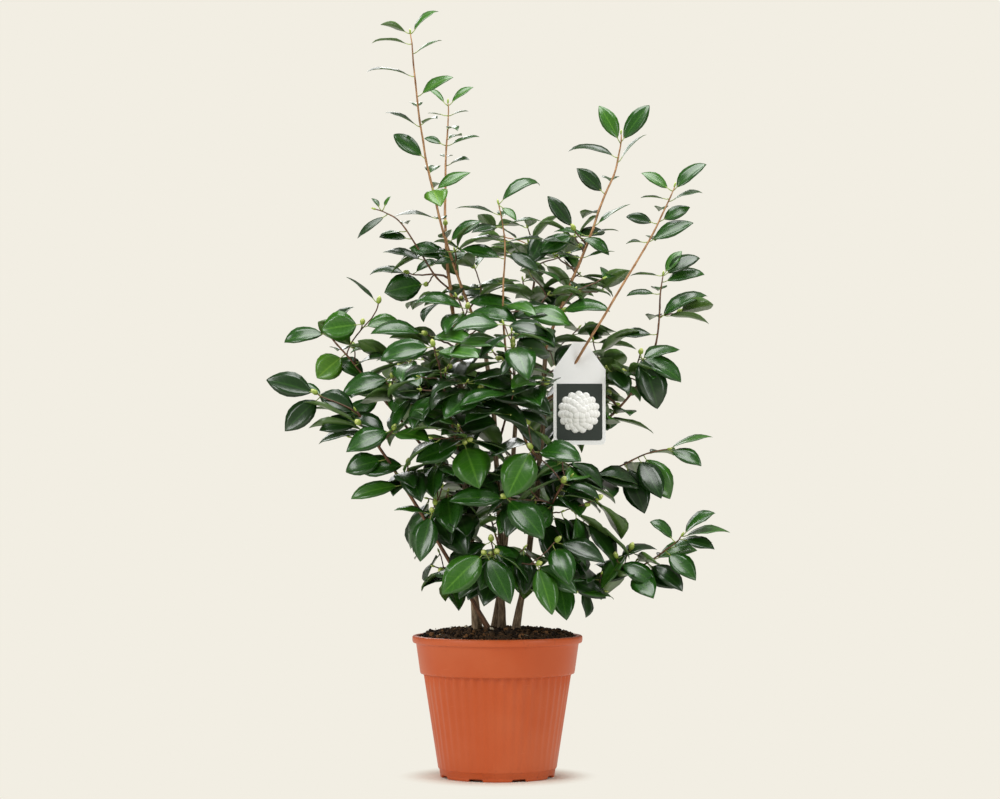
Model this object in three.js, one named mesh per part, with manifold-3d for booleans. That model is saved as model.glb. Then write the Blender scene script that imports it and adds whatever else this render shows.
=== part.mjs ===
// A camellia shrub in its nursery pot: five stems from one root, the leaders and boughs on them,
// the masses of foliage that these carry, a hanging label, the soil and the pot.
// Millimetres, +Z up. The origin is the centre of the pot's underside, -Y is the front, +X the right.
import * as THREE from 'three';
import { mergeVertices } from 'three/addons/utils/BufferGeometryUtils.js';
import Module from 'manifold-3d';

const wasm = await Module();
wasm.setup();

// Driving dimensions
const gap = 0.3; // left between neighbours that touch
const pot = {
  height: 218,
  lipRadius: 132,
  lipHeight: 11,
  lipRound: 3,
  bandRadius: 126.4, // just under the lip
  bandTaper: 6.8, // how much narrower the band is at its foot
  bandHeight: 48,
  step: 5, // from the band in to the body
  footRadius: 92, // of the body, where it meets the foot ring
  footRing: { radius: 88.5, height: 13 },
  wall: 3,
  floor: 4,
  sides: 32,
  notches: { count: 8, width: 22, height: 4, depth: 7 },
};
const soil = { top: 226, plateau: 62, shoulderRadius: 98, shoulderDrop: 4, edgeDrop: 14, sides: 24 };
const twigSides = 5;
const stemSides = 8;
const ringSpacing = 48; // along a limb
const rootFlare = { swell: 1.6, reach: 12 };
const unevenness = 0.13; // of a mass, as a share of its size
const label = {
  at: 0.31, // share of its bough, where this passes through the card's slot
  above: 30, // of the card over the slot
  aside: 5, // of the card's middle from the slot, to the right
  width: 80,
  height: 115,
  corner: 6,
  headWidth: 22,
  headHeight: 42,
  thickness: 1.2,
  slack: 0.8, // round the bough in the slot
  air: 3, // kept clear of the foliage
};

// Limbs, each a tapering bow. A stem stands on the soil at its foot; any other limb leaves the limb it
// is on at a share of that limb's length. The heading turns from +X towards +Y, and the climb is above
// level. The bow moves the middle, and girth is the thickness at the base and at the tip.
const limbRows = {
  stem_left: { foot: [-32, -4], heading: -138, climb: 85, length: 445, bow: [-2, 4, 0], girth: [13, 8.5] },
  stem_thin: { foot: [-13, -16], heading: -157, climb: 57, length: 400, bow: [8, 0, -6], girth: [7, 4] },
  stem_middle: { foot: [7, 8], heading: -149, climb: 86, length: 445, bow: [8, 0, 0], girth: [10, 6.5] },
  stem_right: { foot: [28, -6], heading: 1, climb: 84, length: 438, bow: [11, -4, 0], girth: [10.5, 7] },
  stem_back: { foot: [-4, 32], heading: 66, climb: 77, length: 383, bow: [4, 8, 0], girth: [10, 6.5] },

  leader_left: {
    on: 'stem_left', at: 1, heading: 103, climb: 74, length: 329, bow: [-9, 0, 0],
    girth: [8, 3.6],
  },
  leader_middle: {
    on: 'stem_middle', at: 1, heading: -150, climb: 73, length: 419, bow: [-19, 0, 0],
    girth: [6, 3.4],
  },
  leader_right: { on: 'stem_right', at: 1, heading: 22, climb: 67, length: 312, girth: [7, 3.8] },
  leader_back: { on: 'stem_back', at: 1, heading: 62, climb: 72, length: 211, girth: [6.5, 4.4] },

  shoot_centre: {
    on: 'stem_right', at: 0.55, heading: -131, climb: 77, length: 351, bow: [-22, -10, 0],
    girth: [6, 3.2],
  },
  bough_left_long: { on: 'stem_left', at: 0.455, heading: -178, climb: 50, length: 321, girth: [6.5, 3.4] },
  bough_left_upper: {
    on: 'leader_left', at: 0.2, heading: -161, climb: 56, length: 151, bow: [0, 0, 3],
    girth: [4.2, 2.8],
  },
  bough_right_label: {
    on: 'stem_right', at: 0.77, heading: -26, climb: 56, length: 335, bow: [3, -36, 0],
    girth: [6, 3.6],
  },
  bough_right_outer: {
    on: 'stem_right', at: 0.62, heading: 20, climb: 51, length: 321, bow: [50, 10, -25],
    girth: [6, 3.4],
  },
  bough_right_middle: {
    on: 'stem_right', at: 0.546, heading: -4, climb: 12, length: 166, bow: [0, -8, -14],
    girth: [4.6, 3],
  },
  bough_right_low: {
    on: 'stem_right', at: 0.2, heading: -16, climb: 12, length: 243, bow: [0, -5, -35],
    girth: [5, 3],
  },
  bough_front_left: {
    on: 'stem_left', at: 0.52, heading: -101, climb: 40, length: 175, bow: [0, -8, 0],
    girth: [5, 3.4],
  },
  bough_front_middle: {
    on: 'stem_middle', at: 0.62, heading: -78, climb: 35, length: 185, bow: [0, -8, 0],
    girth: [5, 3.4],
  },
  bough_front_right: {
    on: 'stem_right', at: 0.34, heading: -69, climb: 33, length: 149, bow: [0, -6, -6],
    girth: [5, 3.6],
  },
  bough_front_low: {
    on: 'stem_middle', at: 0.2, heading: -98, climb: 15, length: 115, bow: [0, -6, 2],
    girth: [4.6, 3.4],
  },
  bough_back_left: {
    on: 'stem_back', at: 0.5, heading: 137, climb: 44, length: 223, bow: [0, 6, -4],
    girth: [5.6, 3.4],
  },
  bough_back_right: {
    on: 'stem_back', at: 0.6, heading: 43, climb: 42, length: 212, bow: [0, 6, -4],
    girth: [5.6, 3.4],
  },
  bough_back_low: {
    on: 'stem_back', at: 0.28, heading: 100, climb: 32, length: 132, bow: [0, 6, -4],
    girth: [5, 3.4],
  },
};

// Masses of foliage. Each hangs by a point of its limb, shifted to its own middle; size is its half
// extents and tilt leans it to the right. The crown's own masses come first; the lower ones, the back,
// the skirt and the sprays at the limbs' ends give way to them and have fewer facets.
const crownRows = {
  crown_upper_left: { on: 'leader_left', at: 0.2, shift: [9, 13, 42], size: [72, 78, 78] },
  crown_upper_right: { on: 'leader_right', at: 0.3, shift: [-12, 7, 20], size: [86, 84, 68] },
  crown_middle_left: { on: 'stem_left', at: 0.85, shift: [-50, 10, 9], size: [82, 90, 82] },
  crown_middle_right: { on: 'stem_right', at: 0.85, shift: [79, 13, 2], size: [90, 84, 88] },
  crown_front_left: { on: 'bough_front_left', at: 1, shift: [8, 2, 12], size: [70, 66, 84] },
  crown_front_middle: { on: 'bough_front_middle', at: 1, shift: [3, 4, 12], size: [64, 66, 92] },
};
const outerRows = {
  crown_lower_left: { on: 'stem_left', at: 0.5, shift: [-24, -29, 7], size: [70, 84, 68] },
  crown_lower_right: { on: 'bough_front_right', at: 1, shift: [-14, 56, -10], size: [84, 88, 72] },
  crown_back_left: { on: 'bough_back_left', at: 1, shift: [-9, -32, 41], size: [90, 72, 104] },
  crown_back_right: { on: 'bough_back_right', at: 1, shift: [-2, -30, 39], size: [88, 74, 104] },
  crown_back_top: { on: 'leader_back', at: 1, shift: [-12, -24, 30], size: [84, 70, 76] },
  crown_back_low: { on: 'bough_back_low', at: 1, shift: [11, -32, 40], size: [104, 74, 80] },
  skirt_left: { on: 'stem_left', at: 0.2, shift: [-40, -5, 20], size: [46, 60, 78] },
  skirt_front: { on: 'bough_front_low', at: 1, shift: [6, -2, -20], size: [72, 48, 62] },
  skirt_right: { on: 'bough_right_low', at: 0.35, shift: [-13, -2, 10], size: [78, 60, 62] },
  foliage_middle_top: { on: 'leader_middle', at: 1, shift: [-15, -2, 38], size: [48, 40, 70], tilt: -8 },
  foliage_middle_high: { on: 'leader_middle', at: 0.8, shift: [10, -2, -26], size: [46, 40, 70], tilt: -13 },
  foliage_left_top: { on: 'leader_left', at: 1, shift: [6, 4, 35], size: [32, 32, 66] },
  foliage_centre_top: { on: 'shoot_centre', at: 1, shift: [8, 1, 44], size: [52, 42, 66], tilt: 8 },
  foliage_right_top: { on: 'leader_right', at: 1, shift: [2, -1, 40], size: [58, 46, 58], tilt: 15 },
  foliage_right_high: { on: 'leader_right', at: 0.75, shift: [-27, 2, -10], size: [58, 48, 48], tilt: 20 },
  foliage_label_top: { on: 'bough_right_label', at: 1, shift: [18, -1, 36], size: [58, 44, 66], tilt: 20 },
  foliage_outer_top: { on: 'bough_right_outer', at: 1, shift: [2, -3, -10], size: [70, 48, 80], tilt: 14 },
  foliage_left_upper: { on: 'bough_left_upper', at: 1, shift: [-22, -4, 4], size: [42, 36, 40], tilt: -30 },
  foliage_left_fork: { on: 'leader_left', at: 0.3, shift: [-67, 62, 8], size: [48, 40, 46], tilt: -20 },
  foliage_left_tip: { on: 'bough_left_long', at: 1, shift: [-33, -3, 22], size: [42, 32, 28], tilt: -20 },
  foliage_left_long: { on: 'bough_left_long', at: 0.8, shift: [3, 2, 54], size: [56, 46, 72], tilt: -20 },
  foliage_thin_tip: { on: 'stem_thin', at: 1, shift: [-74, -4, 17], size: [48, 38, 52] },
  foliage_thin_middle: { on: 'stem_thin', at: 0.9, shift: [-12, -6, 18], size: [60, 42, 40], tilt: -10 },
  foliage_thin_low: { on: 'stem_thin', at: 0.7, shift: [-17, -1, -4], size: [44, 32, 28] },
  foliage_low_middle: { on: 'bough_right_low', at: 0.8, shift: [-27, 3, -1], size: [56, 40, 34], tilt: -12 },
  foliage_low_tip: { on: 'bough_right_low', at: 1, shift: [28, -3, 12], size: [54, 40, 36], tilt: -12 },
  foliage_middle_hang: { on: 'bough_right_middle', at: 0.8, shift: [5, 2, -24], size: [34, 28, 36] },
  foliage_middle_tip: { on: 'bough_right_middle', at: 1, shift: [36, -1, 8], size: [46, 30, 24], tilt: -12 },
};

// Materials
const finish = (color, roughness) => new THREE.MeshStandardMaterial({ color, roughness, metalness: 0 });
const potPlastic = finish(0xb9562e, 0.5);
const earth = finish(0x2a1d12, 1);
const bark = finish(0x8a6f4f, 0.8);
const youngBark = finish(0xb98a5a, 0.6);
const leaf = finish(0x24462a, 0.35);
const labelCard = finish(0xf2f2ee, 0.4);

// Solids: a closed geometry becomes a solid, is cut, and comes back as a geometry.
function solidOf(geometry) {
  const bare = new THREE.BufferGeometry();
  const faces = geometry.index ? geometry.toNonIndexed() : geometry;
  bare.setAttribute('position', faces.getAttribute('position'));
  const merged = mergeVertices(bare, 1e-3);
  const vertProperties = merged.getAttribute('position').array;
  const triVerts = [];
  const index = merged.index.array;
  for (let i = 0; i < index.length; i += 3) {
    const [a, b, c] = [index[i], index[i + 1], index[i + 2]];
    if (a !== b && b !== c && c !== a) triVerts.push(a, b, c);
  }
  const mesh = new wasm.Mesh({ numProp: 3, vertProperties, triVerts: new Uint32Array(triVerts) });
  return new wasm.Manifold(mesh);
}

function geometryOf(solid) {
  const { vertProperties, triVerts } = solid.getMesh();
  const geometry = new THREE.BufferGeometry();
  geometry.setAttribute('position', new THREE.BufferAttribute(vertProperties, 3));
  geometry.setIndex(new THREE.BufferAttribute(triVerts, 1));
  return geometry;
}

// The largest piece of a solid, so that slivers a cut leaves behind are dropped.
function mainPiece(solid) {
  return solid.decompose().reduce((best, piece) => (piece.volume() > best.volume() ? piece : best));
}

const shrub = new THREE.Group();

function addNode(name, solid, material) {
  const mesh = new THREE.Mesh(geometryOf(solid), material);
  mesh.name = name;
  shrub.add(mesh);
}

// Pot and soil
const bandTop = pot.height - pot.lipHeight;
const bandFoot = bandTop - pot.bandHeight;
const bandFootRadius = pot.bandRadius - pot.bandTaper;
const bodyRadius = bandFootRadius - pot.step;
const innerFootRadius = pot.footRadius - pot.wall;
const innerStepHeight = bandFoot + pot.wall;

function lathe(profile, sides) {
  return new THREE.LatheGeometry(profile.map(([radius, height]) => new THREE.Vector2(radius, height)), sides)
    .rotateX(Math.PI / 2);
}

function potSolid() {
  const { lipRadius, lipRound, height, wall, footRing } = pot;
  const lipInner = pot.bandRadius - wall;
  const shell = solidOf(lathe([
    [0, 0],
    [footRing.radius, 0],
    [footRing.radius, footRing.height],
    [pot.footRadius, footRing.height],
    [bodyRadius, bandFoot],
    [bandFootRadius, bandFoot],
    [pot.bandRadius, bandTop],
    [lipRadius, bandTop],
    [lipRadius, height - lipRound],
    [lipRadius - lipRound, height],
    [lipInner, height],
    [lipInner, bandTop],
    [bandFootRadius - wall, innerStepHeight],
    [bodyRadius - wall, innerStepHeight],
    [innerFootRadius, pot.floor],
    [0, pot.floor],
  ], pot.sides));
  const { count, width, height: notchHeight, depth } = pot.notches;
  let solid = shell;
  for (let i = 0; i < count; i++) {
    const notch = new THREE.BoxGeometry(2 * depth, width, 2 * notchHeight)
      .translate(footRing.radius, 0, 0)
      .rotateZ((2 * Math.PI * (i + 0.5)) / count);
    solid = solid.subtract(solidOf(notch));
  }
  return solid;
}

function soilSolid() {
  const { wall, floor } = pot;
  const inset = wall + 2 * gap; // the sides are flat facets, so the soil keeps a little more than the gap
  return solidOf(lathe([
    [0, floor + gap],
    [innerFootRadius - 2 * gap, floor + gap],
    [bodyRadius - inset, innerStepHeight],
    [bodyRadius - inset, innerStepHeight + gap],
    [bandFootRadius - inset, innerStepHeight + gap],
    [pot.bandRadius - inset, bandTop],
    [pot.bandRadius - inset, soil.top - soil.edgeDrop],
    [soil.shoulderRadius, soil.top - soil.shoulderDrop],
    [soil.plateau, soil.top],
    [0, soil.top],
  ], soil.sides));
}

// Limbs
function bowCurve({ heading, climb, length, bow = [0, 0, 0] }, start) {
  const turn = THREE.MathUtils.degToRad(heading);
  const rise = THREE.MathUtils.degToRad(climb);
  const tip = new THREE.Vector3(
    Math.cos(rise) * Math.cos(turn),
    Math.cos(rise) * Math.sin(turn),
    Math.sin(rise),
  ).multiplyScalar(length).add(start);
  const control = start.clone().lerp(tip, 0.5).addScaledVector(new THREE.Vector3(...bow), 2);
  return new THREE.QuadraticBezierCurve3(start, control, tip);
}

// Rings of the limb's thickness along its curve, closed by a fan at each end. With some spare all
// round, the same solid cuts the room that a neighbour has to leave.
function limbGeometry({ curve, girth, foot }, spare = 0) {
  const sides = foot ? stemSides : twigSides;
  const steps = Math.max(3, Math.round(curve.getLength() / ringSpacing));
  const frames = curve.computeFrenetFrames(steps);
  const rings = [];
  for (let i = 0; i <= steps; i++) {
    const share = i / steps;
    const swell = foot ? rootFlare.swell * Math.exp((-share * curve.getLength()) / rootFlare.reach) : 0;
    const radius = THREE.MathUtils.lerp(girth[0], girth[1], share) / 2 + swell + spare;
    const end = i === 0 ? -spare : i === steps ? spare : 0;
    const centre = curve.getPointAt(share).addScaledVector(frames.tangents[i], end);
    const ring = [];
    for (let k = 0; k < sides; k++) {
      const angle = (2 * Math.PI * k) / sides;
      const point = centre.clone()
        .addScaledVector(frames.normals[i], radius * Math.cos(angle))
        .addScaledVector(frames.binormals[i], radius * Math.sin(angle));
      if (foot && i === 0) point.z = centre.z;
      ring.push(point);
    }
    rings.push({ centre, ring });
  }
  const corners = [];
  for (let k = 0; k < sides; k++) {
    const next = (k + 1) % sides;
    corners.push(rings[0].centre, rings[0].ring[next], rings[0].ring[k]);
    corners.push(rings[steps].centre, rings[steps].ring[k], rings[steps].ring[next]);
    for (let i = 0; i < steps; i++) {
      const [low, high] = [rings[i].ring, rings[i + 1].ring];
      corners.push(low[k], low[next], high[next]);
      corners.push(low[k], high[next], high[k]);
    }
  }
  return new THREE.BufferGeometry().setFromPoints(corners);
}

const limbs = {};
for (const [name, row] of Object.entries(limbRows)) {
  const start = row.foot
    ? new THREE.Vector3(row.foot[0], row.foot[1], soil.top + gap)
    : limbs[row.on].curve.getPointAt(row.at);
  const limb = { ...row, curve: bowCurve(row, start) };
  limb.room = solidOf(limbGeometry(limb, gap));
  limb.solid = solidOf(limbGeometry(limb));
  if (row.on) limb.solid = mainPiece(limb.solid.subtract(limbs[row.on].room));
  limbs[name] = limb;
}

// Label: a card with a narrow head, which hangs on its bough by a slot
function labelSolid() {
  const limb = limbs.bough_right_label;
  const hold = limb.curve.getPointAt(label.at);
  const { width, height, corner, headWidth, headHeight, thickness } = label;
  const half = width / 2;
  const outline = new THREE.Shape()
    .moveTo(-headWidth / 2, 0)
    .lineTo(-half, -headHeight)
    .lineTo(-half, corner - headHeight - height)
    .quadraticCurveTo(-half, -headHeight - height, corner - half, -headHeight - height)
    .lineTo(half - corner, -headHeight - height)
    .quadraticCurveTo(half, -headHeight - height, half, corner - headHeight - height)
    .lineTo(half, -headHeight)
    .lineTo(headWidth / 2, 0);
  const card = new THREE.ExtrudeGeometry(outline, { depth: thickness, bevelEnabled: false, curveSegments: 4 })
    .rotateX(Math.PI / 2)
    .translate(hold.x + label.aside, hold.y, hold.z + label.above);
  return solidOf(card).subtract(solidOf(limbGeometry(limb, label.slack)));
}

// The room round the label that foliage leaves free
function labelRoom(solid) {
  const box = new THREE.Box3().setFromBufferAttribute(geometryOf(solid).getAttribute('position'));
  box.expandByScalar(label.air);
  const size = box.getSize(new THREE.Vector3());
  const centre = box.getCenter(new THREE.Vector3());
  return solidOf(new THREE.BoxGeometry(size.x, size.y, size.z).translate(centre.x, centre.y, centre.z));
}

// Masses
function massGeometry({ centre, size, tilt = 0 }, { detail, seed, spare = 0 }) {
  const geometry = new THREE.IcosahedronGeometry(1, detail);
  const position = geometry.getAttribute('position');
  const point = new THREE.Vector3();
  for (let i = 0; i < position.count; i++) {
    point.fromBufferAttribute(position, i);
    const broad = Math.sin(3.1 * point.x + seed) * Math.cos(2.7 * point.y + 1.7 * seed);
    const fine = Math.sin(5.3 * point.z + 2.3 * seed) * Math.cos(4.9 * point.x - seed);
    const lump = 1 + unevenness * (broad + 0.6 * fine);
    point.set(
      point.x * (lump * size[0] + spare),
      point.y * (lump * size[1] + spare),
      point.z * (lump * size[2] + spare),
    );
    position.setXYZ(i, point.x, point.y, point.z);
  }
  return geometry.rotateY(THREE.MathUtils.degToRad(tilt)).translate(centre.x, centre.y, centre.z);
}

// Each mass gives way to the limbs, the label and the masses made before it.
function addMasses(rows, detail, room) {
  Object.entries(rows).forEach(([name, row], count) => {
    const centre = limbs[row.on].curve.getPointAt(row.at).add(new THREE.Vector3(...row.shift));
    const seed = 1 + count * 1.37;
    const shape = { ...row, centre };
    const solid = solidOf(massGeometry(shape, { detail, seed })).subtract(room.taken);
    addNode(name, mainPiece(solid), leaf);
    room.taken = room.taken.add(solidOf(massGeometry(shape, { detail, seed, spare: 2 * gap })));
  });
}

addNode('pot', potSolid(), potPlastic);
addNode('soil', soilSolid(), earth);
for (const [name, limb] of Object.entries(limbs)) {
  addNode(name, limb.solid, limb.foot ? bark : youngBark);
}
const hanging = labelSolid();
addNode('label_card', hanging, labelCard);
const room = { taken: labelRoom(hanging) };
for (const limb of Object.values(limbs)) room.taken = room.taken.add(limb.room);
addMasses(crownRows, 2, room);
addMasses(outerRows, 1, room);

export default shrub;
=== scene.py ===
# A camellia shrub in its nursery pot: the looks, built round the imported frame.
from math import atan2, ceil, cos, exp, pi, radians, sin, sqrt, tau
from random import Random

import bmesh
import bpy
import numpy as np
from mathutils import Matrix, Vector, noise
from mathutils.bvhtree import BVHTree


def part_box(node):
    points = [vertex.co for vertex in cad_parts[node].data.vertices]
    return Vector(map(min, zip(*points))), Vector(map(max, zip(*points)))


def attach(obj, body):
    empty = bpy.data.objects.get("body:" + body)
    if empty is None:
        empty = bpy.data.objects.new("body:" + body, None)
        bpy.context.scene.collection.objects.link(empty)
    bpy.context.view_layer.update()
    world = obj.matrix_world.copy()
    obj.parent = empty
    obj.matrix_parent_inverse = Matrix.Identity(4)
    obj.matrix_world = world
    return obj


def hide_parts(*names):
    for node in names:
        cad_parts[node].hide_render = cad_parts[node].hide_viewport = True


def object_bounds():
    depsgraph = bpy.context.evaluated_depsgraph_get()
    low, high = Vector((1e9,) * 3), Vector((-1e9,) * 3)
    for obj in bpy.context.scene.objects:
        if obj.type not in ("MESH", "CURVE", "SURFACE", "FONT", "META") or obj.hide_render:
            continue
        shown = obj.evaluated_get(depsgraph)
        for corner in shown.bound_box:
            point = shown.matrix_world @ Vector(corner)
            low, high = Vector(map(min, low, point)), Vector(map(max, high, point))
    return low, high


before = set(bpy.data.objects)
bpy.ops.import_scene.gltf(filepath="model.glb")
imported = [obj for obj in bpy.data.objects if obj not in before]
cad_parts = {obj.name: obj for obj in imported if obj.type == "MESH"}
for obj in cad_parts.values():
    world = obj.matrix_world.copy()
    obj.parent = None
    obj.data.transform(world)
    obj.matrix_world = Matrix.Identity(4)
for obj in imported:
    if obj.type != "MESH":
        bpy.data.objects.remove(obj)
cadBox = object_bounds()
up = Vector((0, 0, 1))


def tint(red, green, blue):
    # a screen colour, 0 to 255, as the shader's own colour
    shares = [part / 255 for part in (red, green, blue)]
    return tuple(s / 12.92 if s < 0.04045 else ((s + 0.055) / 1.055) ** 2.4 for s in shares) + (1,)


def mixed(low, high, share):
    return low + (high - low) * share


def eased(low, high, value):
    share = min(1, max(0, (value - low) / (high - low)))
    return share * share * (3 - 2 * share)


# ---- camera, light and floor

camera = {"place": (0.004, -3.88, 0.44), "aim": (0.004, 0, 0.584), "lens": 89.7, "sensor": 36}


def addCamera():
    data = bpy.data.cameras.new("camera")
    data.lens = camera["lens"]
    data.sensor_width = camera["sensor"]
    made = bpy.data.objects.new("camera", data)
    made.location = camera["place"]
    made.rotation_euler = (Vector(camera["aim"]) - made.location).to_track_quat("-Z", "Y").to_euler()
    bpy.context.scene.collection.objects.link(made)
    bpy.context.scene.camera = made


addCamera()


class Signal:
    # a socket in shader maths: signal + 1, 1 - signal and the like add Math nodes
    def __init__(self, finish, socket):
        self.finish, self.socket = finish, socket

    def __add__(self, other):
        return self.finish.maths("ADD", self, other)

    def __sub__(self, other):
        return self.finish.maths("SUBTRACT", self, other)

    def __rsub__(self, other):
        return self.finish.maths("SUBTRACT", other, self)

    def __mul__(self, other):
        return self.finish.maths("MULTIPLY", self, other)

    def __abs__(self):
        return self.finish.maths("ABSOLUTE", self)

    __radd__, __rmul__ = __add__, __mul__


class Finish:
    # one material: what is the same all over sits on the shader's sockets, patterns are linked to them
    def __init__(self, name, **plain):
        self.material = bpy.data.materials.new(name)
        self.material.use_nodes = True
        self.tree = self.material.node_tree
        self.shader = self.tree.nodes["Principled BSDF"]
        for socket, value in plain.items():
            self.shader.inputs[socket.replace("_", " ")].default_value = value

    def node(self, kind, settings=None, values=None, output=0):
        made = self.tree.nodes.new(kind)
        for key, value in (settings or {}).items():
            if key == "stops":
                ramp = made.color_ramp.elements
                while len(ramp) < len(value):
                    ramp.new(1)
                for stop, (place, colour) in zip(ramp, value):
                    stop.position, stop.color = place, colour
            else:
                setattr(made, key, value)
        for key, value in (values or {}).items():
            if isinstance(value, Signal):
                self.tree.links.new(value.socket, made.inputs[key])
            else:
                made.inputs[key].default_value = value
        return Signal(self, made.outputs[output])

    def maths(self, operation, *values):
        return self.node("ShaderNodeMath", {"operation": operation}, dict(enumerate(values)))

    def link(self, socket, signal):
        self.tree.links.new(signal.socket, self.shader.inputs[socket])

    def place(self, stretch=(1, 1, 1)):
        place = self.node("ShaderNodeTexCoord", output="Object")
        return self.node("ShaderNodeMapping", values={"Vector": place, "Scale": stretch})

    def noise(self, place, scale, detail=3, roughness=0.5):
        values = {"Vector": place, "Scale": scale, "Detail": detail, "Roughness": roughness}
        return self.node("ShaderNodeTexNoise", values=values)

    def between(self, signal, low, high):
        # 0 below low, 1 above high and an eased rise between
        values = {"Value": signal, "From Min": low, "From Max": high}
        return self.node("ShaderNodeMapRange", {"interpolation_type": "SMOOTHSTEP"}, values)

    def mix(self, share, first, second):
        return self.node("ShaderNodeMix", {"data_type": "RGBA"}, {0: share, 6: first, 7: second}, output=2)

    def bump(self, height, strength, distance):
        values = {"Height": height, "Strength": strength, "Distance": distance}
        self.link("Normal", self.node("ShaderNodeBump", values=values))


studio = {
    "backdrop": tint(242, 238, 227),
    "floorRadius": 14,
    "floor": tint(234, 229, 217),
    "fadeFrom": 0.09,  # the floor melts into the backdrop between these distances from the pot's middle
    "fadeTo": 0.16,
    "fill": 0.29,
    "lamps": {  # place, size and power
        "overhead": ((0.2, -0.3, 2.9), (2.2, 2.0), 84),
        "left": ((-2.6, -2.1, 1.6), (1.3, 2.2), 58),
        "right": ((2.8, -1.9, 1.3), (1.0, 2.0), 34),
        "back": ((-0.9, 2.7, 2.2), (1.6, 1.4), 26),
    },
}


def areaLamp(name, place, aim, size, power):
    data = bpy.data.lights.new(name, "AREA")
    data.shape = "RECTANGLE"
    data.size, data.size_y = size
    data.energy = power
    lamp = bpy.data.objects.new(name, data)
    lamp.location = place
    lamp.rotation_euler = (Vector(aim) - lamp.location).to_track_quat("-Z", "Y").to_euler()
    bpy.context.scene.collection.objects.link(lamp)


def lightStudio():
    world = bpy.data.worlds.new("studio")
    bpy.context.scene.world = world
    world.use_nodes = True
    nodes, links = world.node_tree.nodes, world.node_tree.links
    nodes["Background"].inputs["Color"].default_value = studio["backdrop"]
    # the backdrop is seen at its full colour and lights the shrub more softly
    sight = nodes.new("ShaderNodeLightPath").outputs["Is Camera Ray"]
    strength = nodes.new("ShaderNodeMapRange")
    strength.inputs["To Min"].default_value = studio["fill"]
    links.new(sight, strength.inputs["Value"])
    links.new(strength.outputs[0], nodes["Background"].inputs["Strength"])
    bpy.context.scene.view_settings.view_transform = "Standard"
    for name, (place, size, power) in studio["lamps"].items():
        areaLamp(name, place, (0, 0, 0.6), size, power)


def layFloor():
    bm = bmesh.new()
    bmesh.ops.create_circle(bm, cap_ends=True, segments=96, radius=studio["floorRadius"])
    bmesh.ops.translate(bm, verts=bm.verts, vec=(0, 0, cadBox[0].z))
    paper = Finish("backdrop paper", Roughness=0.9, Specular_IOR_Level=0.1)
    away = paper.node("ShaderNodeVectorMath", {"operation": "LENGTH"}, {0: paper.place()}, output="Value")
    fade = paper.between(away, studio["fadeFrom"], studio["fadeTo"])
    paper.shader.inputs["Base Color"].default_value = studio["floor"]
    glow = paper.node("ShaderNodeEmission", values={"Color": studio["backdrop"], "Strength": 1})
    body = Signal(paper, paper.shader.outputs[0])
    blend = paper.node("ShaderNodeMixShader", values={0: fade, 1: body, 2: glow})
    paper.tree.links.new(blend.socket, paper.tree.nodes["Material Output"].inputs["Surface"])
    floor = pieceFrom(bm, "floor", [paper.material])


# ---- pieces

def pieceOf(mesh, materials, smooth=True):
    for material in materials:
        mesh.materials.append(material)
    if smooth:
        mesh.shade_smooth()
    piece = bpy.data.objects.new(mesh.name, mesh)
    bpy.context.scene.collection.objects.link(piece)
    return piece


def pieceFrom(bm, name, materials, smooth=True):
    mesh = bpy.data.meshes.new(name)
    bm.to_mesh(mesh)
    bm.free()
    return pieceOf(mesh, materials, smooth)


def settle(piece, slot, *replaced):
    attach(piece, "root")
    if replaced:
        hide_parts(*replaced)


def solidCopy(node):
    # a CAD node's mesh as one connected shell
    bm = bmesh.new()
    bm.from_mesh(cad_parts[node].data)
    bmesh.ops.remove_doubles(bm, verts=bm.verts, dist=1e-5)
    return bm


class Bunch:
    # many small shapes gathered into one joined mesh
    def __init__(self, maps=()):
        self.places, self.faces, self.slots = [], [], []
        self.maps = {name: [] for name in maps}
        self.count = 0

    def add(self, places, faces, slots, **maps):
        self.places.append(np.asarray(places, float))
        self.faces += [[corner + self.count for corner in face] for face in faces]
        self.slots += slots
        for name, corners in maps.items():
            self.maps[name].append(corners)
        self.count += len(places)

    def piece(self, name, materials):
        mesh = bpy.data.meshes.new(name)
        mesh.from_pydata(np.concatenate(self.places).tolist(), [], self.faces)
        mesh.polygons.foreach_set("material_index", self.slots)
        for title, corners in self.maps.items():
            layer = mesh.uv_layers.new(name=title)
            layer.data.foreach_set("uv", np.concatenate(corners).ravel())
        mesh.update()
        return pieceOf(mesh, materials)


# ---- the pot

pot = {
    "lip": {"radius": 0.132, "height": 0.011, "roll": 0.003},
    "band": {"top": 0.1264, "foot": 0.1196, "height": 0.048},
    "body": {"top": 0.1146, "foot": 0.092},
    "ring": {"radius": 0.0885, "height": 0.013},
    "wall": 0.003,
    "recess": 0.0016,  # of the underside
    "flutes": {"count": 46, "depth": 0.0036, "stepsEach": 6},
    "notches": {"count": 8, "width": 0.022, "height": 0.004, "depth": 0.007},
    "colour": tint(192, 84, 37),
    "scuff": tint(214, 122, 82),
    "grime": tint(110, 50, 28),
}


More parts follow.
